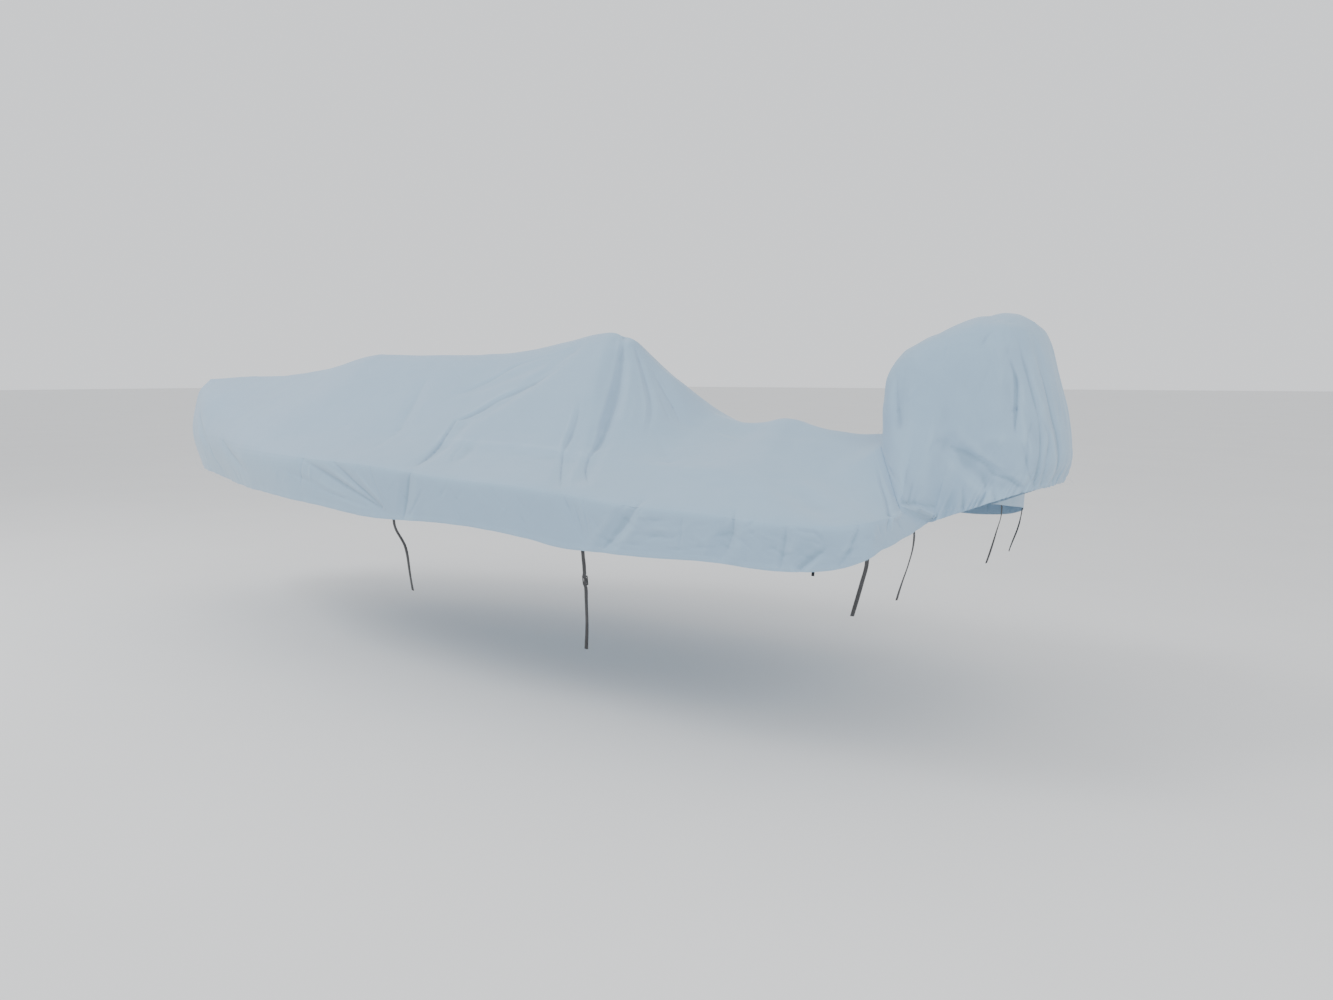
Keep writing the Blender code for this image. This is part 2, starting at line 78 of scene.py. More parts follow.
# %% [markdown]
# ## The cut of the body panel
#
# A cover is drawn as a ship is, by ribs. Each rib runs from the spine by the shoulder, where the tent side
# meets the side deck, and the gunwale, where the cloth turns down, to the hem of the skirt. A place on the
# cloth is then two numbers: how far along the gunwale its rib stands, and its girth, which counts 1 at the
# shoulder, 2 at the gunwale and 3 at the hem, and is negative to port. The frame's solids come from these same
# ribs, so cloth that is built on them fits the frame without any measuring.

# %% Ribs of the body panel


def table(columns, rows):
    """Rows of numbers as named columns."""
    return dict(zip(columns.split(), np.array(rows, float).T))


def from_peak(rows):
    """Heights above the ground become heights above the origin."""
    for name in rows:
        if name.endswith("up"):
            rows[name] -= PEAK_UP


BODY_RIBS = table(
    "spine_aft spine_up shoulder_aft shoulder_out shoulder_up gunwale_aft gunwale_out gunwale_up"
    " hem_aft hem_out hem_up cells",
    [
        (-3.78, 1.573, -3.86, 0.00, 1.500, -3.93, 0.00, 1.190, -3.84, 0.00, 0.955, 0),
        (-3.77, 1.573, -3.81, 0.08, 1.500, -3.89, 0.10, 1.190, -3.78, 0.09, 0.955, 2),
        (-3.65, 1.579, -3.64, 0.18, 1.495, -3.71, 0.215, 1.190, -3.61, 0.20, 0.948, 3),
        (-3.33, 1.595, -3.34, 0.33, 1.460, -3.39, 0.39, 1.190, -3.29, 0.36, 0.942, 4),
        (-2.89, 1.605, -2.87, 0.47, 1.400, -2.90, 0.60, 1.185, -2.82, 0.53, 0.925, 5),
        (-2.44, 1.645, -2.40, 0.62, 1.355, -2.42, 0.80, 1.180, -2.37, 0.74, 0.925, 5),
        (-1.88, 1.742, -1.83, 0.74, 1.320, -1.86, 0.98, 1.175, -1.85, 0.93, 0.925, 5),
        (-1.33, 1.730, -1.26, 0.76, 1.287, -1.28, 1.09, 1.165, -1.28, 1.06, 0.910, 5),
        (-0.84, 1.730, -0.70, 0.78, 1.265, -0.70, 1.14, 1.152, -0.70, 1.11, 0.880, 5),
        (-0.33, 1.800, -0.22, 0.78, 1.247, -0.18, 1.155, 1.122, -0.18, 1.125, 0.893, 6),
        (0.00, 1.839, 0.20, 0.78, 1.229, 0.26, 1.155, 1.108, 0.26, 1.130, 0.872, 6),
        (0.33, 1.630, 0.50, 0.78, 1.206, 0.62, 1.155, 1.085, 0.62, 1.130, 0.836, 5),
        (0.66, 1.403, 0.85, 0.79, 1.191, 0.98, 1.155, 1.058, 0.98, 1.130, 0.838, 4),
        (0.89, 1.347, 1.12, 0.80, 1.193, 1.32, 1.150, 1.050, 1.32, 1.125, 0.848, 4),
        (1.06, 1.380, 1.32, 0.80, 1.176, 1.64, 1.135, 1.030, 1.64, 1.110, 0.840, 4),
        (1.19, 1.354, 1.46, 0.76, 1.160, 1.88, 1.080, 1.030, 1.87, 1.050, 0.862, 3),
        (1.33, 1.333, 1.57, 0.63, 1.165, 1.985, 0.96, 1.045, 1.975, 0.94, 0.912, 2),
        (1.48, 1.324, 1.64, 0.47, 1.215, 1.990, 0.81, 1.048, 1.983, 0.71, 0.944, 2),
        (1.62, 1.334, 1.71, 0.31, 1.300, 1.955, 0.66, 1.055, 1.982, 0.41, 0.984, 3),
    ],
)
from_peak(BODY_RIBS)
BOW_BENDS_END = 3.2  # the bow is rounder, and its reaches give way to the others by here
BOW_BENDS_FADE = 1.2  # and do so over this length
BODY_BENDS = table(
    "girth reach bow_reach",
    [
        (0.0, 0.20, 0.20),
        (0.5, 0.40, 0.50),
        (1.0, 0.20, 0.40),
        (1.6, 0.30, 0.40),
        (2.0, 0.15, 0.50),
        (2.5, 0.40, 0.50),
        (3.0, 0.00, 0.00),
    ],
)
rib_steps = np.hypot(np.diff(BODY_RIBS["gunwale_aft"]), np.diff(BODY_RIBS["gunwale_out"]))
RIB_ALONG = np.concatenate([[0.0], np.cumsum(rib_steps)])
SEAM_ALONG = RIB_ALONG[-1]
print(f"The body panel is {SEAM_ALONG:.2f} m long along one gunwale")

# %% [markdown]
# ## From ribs to a smooth surface
#
# A straight run from one rib to the next would show as a flat facet. A cubic through the ribs is smooth, but a
# plain one swings past its points and puts humps in a cloth that is pulled tight. The cubic here keeps its
# slope between those of the runs on either side, so it never swings past. Across the ribs the cloth has
# corners, at the shoulder and the gunwale, and there a moving mean rounds each corner by its own reach.

# %% Smooth surface of the body panel


def monotone(x, y, at):
    """Cubic through the points (x, y) that never swings past them."""
    x, y, at = (np.asarray(a, float) for a in (x, y, at))
    step = np.diff(x)
    rise = np.diff(y) / step
    before, after = rise[:-1], rise[1:]
    wide_before, wide_after = 2 * step[1:] + step[:-1], step[1:] + 2 * step[:-1]
    steady = before * after > 0
    safe = np.where(steady, before * after, 1.0)
    mean = (wide_before + wide_after) * safe
    mean /= np.where(steady, wide_before * after + wide_after * before, 1.0)
    slope = np.concatenate([rise[:1], np.where(steady, mean, 0.0), rise[-1:]])
    i = np.clip(np.searchsorted(x, at) - 1, 0, len(x) - 2)
    t = (at - x[i]) / step[i]
    level = y[i] + (y[i + 1] - y[i]) * t * t * (3 - 2 * t)
    return level + step[i] * (t * (1 - t) ** 2 * slope[i] - t * t * (1 - t) * slope[i + 1])


def body_rib(column, along):
    """A column of the body's ribs, at a distance along the gunwale. Beyond the tip the ribs mirror it."""
    values = BODY_RIBS[column]
    mirror = -1.0 if column.endswith("out") else 1.0
    return monotone(np.append(-RIB_ALONG[1], RIB_ALONG), np.append(mirror * values[1], values), along)


def body_corners(along):
    """Spine, shoulder, gunwale and hem of the ribs there, on the side that counts out as positive."""
    spine = [body_rib("spine_aft", along), 0 * along, body_rib("spine_up", along)]
    rest = [
        [body_rib(f"{place}_{way}", along) for way in ("aft", "out", "up")]
        for place in ("shoulder", "gunwale", "hem")
    ]
    return np.stack([np.stack(place, -1) for place in (spine, *rest)])


def on_side(point, girth):
    """A point of the port or the starboard side, by the sign of its girth."""
    point[..., 1] *= np.where(girth < 0, -1, 1)
    return point


def on_runs(corners, girth):
    """A place on the straight runs from corner to corner, mirrored beyond the spine."""
    g = np.clip(np.abs(girth), 0, len(corners) - 1)
    i = np.minimum(g.astype(int), len(corners) - 2)
    columns = np.indices(i.shape)
    low, high = corners[(i, *columns)], corners[(i + 1, *columns)]
    return on_side(low + (high - low) * (g - i)[..., None], girth)


def rounded(corners, girth, reach, ridge_reach):
    """The straight runs rounded off by a mean over the reach round each place, but for the ridge itself."""
    spread = np.linspace(-1, 1, 9)
    weights = 1.2 - np.abs(spread)

    def mean(at, over):
        points = [w * on_runs(corners, at + s * over) for s, w in zip(spread, weights)]
        return sum(points) / weights.sum()

    lift = corners[0] - mean(0 * girth, 0 * girth + ridge_reach)
    return mean(girth, reach) + lift * np.clip(1 - np.abs(girth), 0, 1)[..., None] ** 2


def body_surface(along, girth):
    """The smooth body panel."""
    along, girth = np.broadcast_arrays(np.asarray(along, float), np.asarray(girth, float))
    down = np.abs(girth)
    tight, soft = (np.interp(down, BODY_BENDS["girth"], BODY_BENDS[part]) for part in ("reach", "bow_reach"))
    reach = tight + (soft - tight) * np.clip((BOW_BENDS_END - along) / BOW_BENDS_FADE, 0, 1)
    return on_side(rounded(body_corners(along), down, reach, BODY_BENDS["reach"][0]), girth)


peak_rib = np.argmax(BODY_RIBS["spine_up"])
print("The peak of the smooth body is at", body_surface(RIB_ALONG[peak_rib], 0.0).round(4))

# %% [markdown]
# ## The cut of the hood
#
# The hood is a bag with a flat seam in front, where it is sewn to the body panel, and a free hem behind. Its
# ribs stand round it: 0 at the front, 3 where the seam ends and 6 at the back, negative to port. Its girth
# counts down from the top, with 1 at the crown, 2 at the waist and 3 at the lower edge. Up to rib 3 that lower
# edge is the back edge of the body panel itself, so the two cloths share one line and no gap can open.

# %% Ribs and surface of the hood
HOOD_RIBS = table(
    "around top_aft top_up crown_aft crown_out crown_up waist_aft waist_out waist_up",
    [
        (0.0, 1.99, 1.815, 1.715, 0.00, 1.715, 1.662, 0.00, 1.510),
        (0.5, 2.00, 1.825, 1.740, 0.17, 1.720, 1.678, 0.20, 1.510),
        (1.0, 2.04, 1.845, 1.820, 0.27, 1.740, 1.738, 0.31, 1.500),
        (2.0, 2.10, 1.868, 1.970, 0.30, 1.785, 1.890, 0.36, 1.400),
        (3.0, 2.15, 1.878, 2.090, 0.30, 1.815, 2.070, 0.35, 1.360),
        (4.0, 2.20, 1.874, 2.205, 0.28, 1.810, 2.260, 0.32, 1.330),
        (5.0, 2.25, 1.852, 2.290, 0.20, 1.790, 2.395, 0.26, 1.290),
        (5.5, 2.27, 1.840, 2.318, 0.10, 1.780, 2.445, 0.14, 1.270),
        (6.0, 2.28, 1.835, 2.325, 0.00, 1.775, 2.460, 0.00, 1.270),
    ],
)
HOOD_HEM = table(
    "around aft out up",
    [(4.0, 2.13, 0.375, 1.040), (5.0, 2.31, 0.315, 1.110), (5.5, 2.375, 0.17, 1.130), (6.0, 2.395, 0.0, 1.133)],
)
from_peak(HOOD_RIBS)
from_peak(HOOD_HEM)
HOOD_BENDS = table(
    "girth reach", [(0.0, 0.35), (0.5, 0.45), (1.0, 0.45), (2.0, 0.60), (2.5, 0.45), (3.0, 0.0)]
)
HOOD_SEAM_END = 3.0


def hood_corners(around):
    """Top, crown, waist and lower edge of the hood's ribs there, on the side that counts out as positive."""
    ribs = {name: monotone(HOOD_RIBS["around"], values, around) for name, values in HOOD_RIBS.items()}
    top = [ribs["top_aft"], 0 * around, ribs["top_up"]]
    rest = [[ribs[f"{place}_{way}"] for way in ("aft", "out", "up")] for place in ("crown", "waist")]
    seam = np.linspace(0, HOOD_SEAM_END, 61)
    hem = np.stack([HOOD_HEM[way] for way in ("aft", "out", "up")], -1)
    edge, places = np.concatenate([body_surface(SEAM_ALONG, seam), hem]), np.append(seam, HOOD_HEM["around"])
    free = [monotone(places, way, around) for way in edge.T]
    sewn = body_surface(SEAM_ALONG, np.minimum(around, HOOD_SEAM_END))
    lower = np.where((around <= HOOD_SEAM_END)[..., None], sewn, np.stack(free, -1))
    return np.stack([*(np.stack(place, -1) for place in (top, *rest)), lower])


def hood_surface(around, girth):
    """The smooth hood. Around is negative to port, and girth counts down from the top."""
    around, girth = np.broadcast_arrays(np.asarray(around, float), np.asarray(girth, float))
    reach = np.interp(girth, HOOD_BENDS["girth"], HOOD_BENDS["reach"])
    return on_side(rounded(hood_corners(np.abs(around)), girth, reach, HOOD_BENDS["reach"][0]), around)


print("The hood's top is at", hood_surface(3.0, 0.0).round(3))

# %% [markdown]
# ## Main folds, as in the frame
#
# The folds that show from a step away are in the frame's solids too. Each is a straight line on the sheet from
# one place to another, with a half width and a height, and a height below zero is a hollow. The cloth keeps
# them all, so that it lies on its solid, and adds its own finer creases afterwards.

# %% Tables of the main folds
FOLD_COLUMNS = "along girth to_along to_girth half_width height"
FOLD_END = 0.06  # how far into the rise of its sine a fold starts
BODY_FOLDS = table(
    FOLD_COLUMNS,
    [
        # port side, from the front
        (0.62, -1.50, 1.05, -2.30, 0.07, -0.010),
        (1.45, -1.95, 1.95, -2.55, 0.07, -0.008),
        (2.85, -2.05, 3.53, -2.80, 0.07, -0.008),
        (3.17, -2.05, 3.56, -2.80, 0.06, -0.006),
        (3.79, -2.05, 3.71, -2.92, 0.07, -0.010),
        (3.03, -0.35, 3.25, -0.95, 0.09, -0.008),
        (3.69, -0.78, 3.76, -1.75, 0.08, -0.014),
        (3.90, -1.00, 3.96, -1.55, 0.07, -0.007),
        (3.72, -0.80, 4.20, -0.15, 0.09, -0.012),
        (3.45, -0.50, 4.15, -0.17, 0.09, -0.008),
        (4.52, -0.02, 4.74, -0.85, 0.10, -0.024),
        (4.74, -0.80, 4.82, -1.60, 0.07, -0.013),
        (4.53, -0.60, 4.72, -1.80, 0.07, -0.010),
        (4.80, -0.08, 5.08, -0.36, 0.08, -0.008),
        (4.78, -1.95, 4.91, -2.95, 0.07, -0.008),
        (5.17, -1.88, 4.98, -2.88, 0.07, -0.014),
        (5.65, -1.92, 5.57, -2.80, 0.07, -0.012),
        (5.86, -2.05, 5.84, -2.92, 0.07, -0.009),
        (6.00, -2.45, 5.90, -2.95, 0.07, -0.010),
        (6.08, -1.00, 6.12, -1.80, 0.12, -0.014),
        # starboard side, from the front
        (1.10, 1.60, 1.50, 2.40, 0.07, -0.009),
        (2.40, 2.05, 3.10, 2.75, 0.07, -0.008),
        (3.30, 0.55, 4.10, 0.15, 0.09, -0.009),
        (3.85, 0.65, 3.80, 1.70, 0.08, -0.012),
        (4.05, 2.02, 3.95, 2.90, 0.07, -0.010),
        (4.55, 0.05, 4.68, 1.10, 0.10, -0.020),
        (4.70, 1.90, 4.80, 2.90, 0.07, -0.009),
        (5.25, 1.90, 5.05, 2.88, 0.07, -0.013),
        (5.72, 1.95, 5.70, 2.85, 0.07, -0.010),
        (6.08, 1.00, 6.12, 1.80, 0.12, -0.014),
    ],
)
HOOD_FOLDS = table(
    FOLD_COLUMNS,
    [
        # port side, from the front
        (-1.30, 1.70, -1.62, 2.30, 0.06, -0.008),
        (-2.70, 1.70, -2.82, 2.40, 0.06, -0.008),
        (-3.00, 2.12, -5.00, 2.86, 0.07, -0.018),
        (-4.45, 1.20, -4.38, 1.95, 0.06, -0.012),
        (-4.77, 0.95, -5.33, 2.80, 0.06, -0.010),
        (-5.37, 0.95, -5.85, 2.80, 0.05, -0.007),
        # starboard side, from the front
        (1.40, 1.60, 1.70, 2.40, 0.06, -0.008),
        (2.60, 1.75, 2.85, 2.50, 0.06, -0.009),
        (3.20, 2.20, 4.90, 2.85, 0.07, -0.014),
        (4.60, 1.05, 4.85, 2.30, 0.06, -0.010),
        (5.40, 0.95, 5.60, 2.70, 0.05, -0.008),
    ],
)


def near_line(points, line):
    """The way from the nearest place of a bent line to each point, the line's course there and the place."""
    best = np.full(len(points), np.inf)
    away, course, place = np.zeros_like(points), np.zeros_like(points), np.zeros(len(points))
    for k, (start, step) in enumerate(zip(line, np.diff(line, axis=0))):
        t = np.clip((points - start) @ step / step.dot(step), 0, 1)
        way = points - start - t[:, None] * step
        gap = np.sum(way * way, -1)
        closer = gap < best
        best[closer], away[closer], place[closer] = gap[closer], way[closer], k + t[closer]
        course[closer] = step / np.linalg.norm(step)
    return away, course, place


def main_folds(points, surface, folds):
    """How far each point of a sheet moves out by its main folds."""
    shift = np.zeros(points.shape[:2])
    share = np.linspace(0, 1, 15)
    for k in range(len(folds["height"])):
        along = folds["along"][k] + (folds["to_along"][k] - folds["along"][k]) * share
        girth = folds["girth"][k] + (folds["to_girth"][k] - folds["girth"][k]) * share
        line, half_width = surface(along, girth), folds["half_width"][k]
        inside = ((points > line.min(0) - half_width) & (points < line.max(0) + half_width)).all(-1)
        if not inside.any():
            continue
        away, _, place = near_line(points[inside], line)
        way_along = FOLD_END + (1 - 2 * FOLD_END) * place / (len(share) - 1)
        taper = np.sqrt(np.clip(np.sin(np.pi * way_along), 0, 1))
        reach = np.clip(np.linalg.norm(away, axis=-1) / half_width, 0, 1)
        shift[inside] += folds["height"][k] * taper * np.cos(0.5 * np.pi * reach) ** 2
    return shift


print(len(BODY_FOLDS["height"]) + len(HOOD_FOLDS["height"]), "main folds")

# %% [markdown]
# ## Creases
#
# A crease in coated cloth isn't an even trough. One flank is a flat facet with a sharp edge, the other swings
# up softly, and the cloth stands in a small lip beyond the facet. That unevenness is what catches the light,
# so each crease here has a lean: how much of it is facet, above zero where the facet is on its right, seen
# from outside, for a crease that runs down. Its width is the facet's. Widths and depths are in millimetres,
# and a depth below zero is a ridge. The plain creases are rows of one table: a line from one place to
# another, a bend that pushes its middle aft, two widths, and the depth at its start, middle and end. Some
# spring from a tight place and die away, and others fade at both ends.

# %% Shape of one crease
CREASE_COLUMNS = "along girth to_along to_girth bend width to_width start middle end lean"
MM = 0.001
LIP_HEIGHT = 0.22  # as a share of the crease's depth
LIP_AWAY = 1.25  # in widths from its middle
LIP_SPREAD = 0.12  # in widths squared


def add_crease(shift, points, out, line, width, depth, lean, rise=1.4):
    """Adds one crease to the shift of a sheet. It has a width and a depth at each place of its line.

    The rise is how many widths the flank without the facet takes to come up again.
    """
    reach = MM * max(1.5, rise) * 1.3 * np.max(width)
    inside = ((points > line.min(0) - reach) & (points < line.max(0) + reach)).all(-1)
    if not inside.any():
        return
    away, course, place = near_line(points[inside], line)
    right = np.sum(away * np.cross(out[inside], course), -1)
    side = np.where(right < 0, -1, 1) * (-1 if lean < 0 else 1)
    numbers = np.arange(len(line))
    over = np.linalg.norm(away, axis=-1) * side / (MM * np.interp(place, numbers, width))
    soft = np.exp(-(over**2))
    facet = np.where(over > 0, np.clip(1 - over, 0, 1), np.clip(1 + over / rise, 0, 1) ** 2)
    lip = LIP_HEIGHT * np.exp(-((over - LIP_AWAY) ** 2) / LIP_SPREAD)
    share = abs(lean)
    shift[inside] -= MM * np.interp(place, numbers, depth) * ((1 - share) * soft + share * (facet - lip))


def creases(points, out, surface, rows):
    """How far each point of a sheet moves out by the creases of a table."""
    shift = np.zeros(points.shape[:2])
    t = np.linspace(0, 1, 13)
    for k in range(len(rows["along"])):
        row = {name: values[k] for name, values in rows.items()}
        along = row["along"] + (row["to_along"] - row["along"]) * t + row["bend"] * 4 * t * (1 - t)
        line = surface(along, row["girth"] + (row["to_girth"] - row["girth"]) * t)
        width = np.interp(t, (0, 1), (row["width"], row["to_width"]))
        depth = np.interp(t, (0, 0.5, 1), (row["start"], row["middle"], row["end"]))
        add_crease(shift, points, out, line, width, depth, row["lean"])
    return shift


# %% [markdown]
# A long tuck changes its course, its width and its depth on its way, so it's drawn through a few places, each
# with its own width and depth. A smooth line joins them. A very wide one without a lean is a soft swell or
# hollow. The first few of each list are of that kind, where real cloth is fuller or flatter than its solid.

# %% Tucks through several places
PLACE_COLUMNS = "along girth width depth"


def tuck(lean, rise, *places):
    """A tuck, from the places that it runs through."""
    return lean, rise, table(PLACE_COLUMNS, places)


def tucks(points, out, surface, drawn):
    """How far each point of a sheet moves out by its tucks."""
    shift = np.zeros(points.shape[:2])
    for lean, rise, places in drawn:
        numbers = np.arange(len(places["along"]))
        at = np.linspace(0, numbers[-1], 5 * numbers[-1] + 1)
        along, girth, width, depth = (monotone(numbers, values, at) for values in places.values())
        add_crease(shift, points, out, surface(along, girth), width, depth, lean, rise)
    return shift


# %% [markdown]
# ## Where the creases lie
#
# The camera sees the port side, so its creases are placed one by one from the photograph: arcs round the
# front, folds that run down from the peak, tucks over the gunwale, and fans in the skirt where a strap pulls.
# The starboard side is never seen there. It gets creases of the same kinds in places of its own, because a
# real cover is never the same on both sides.

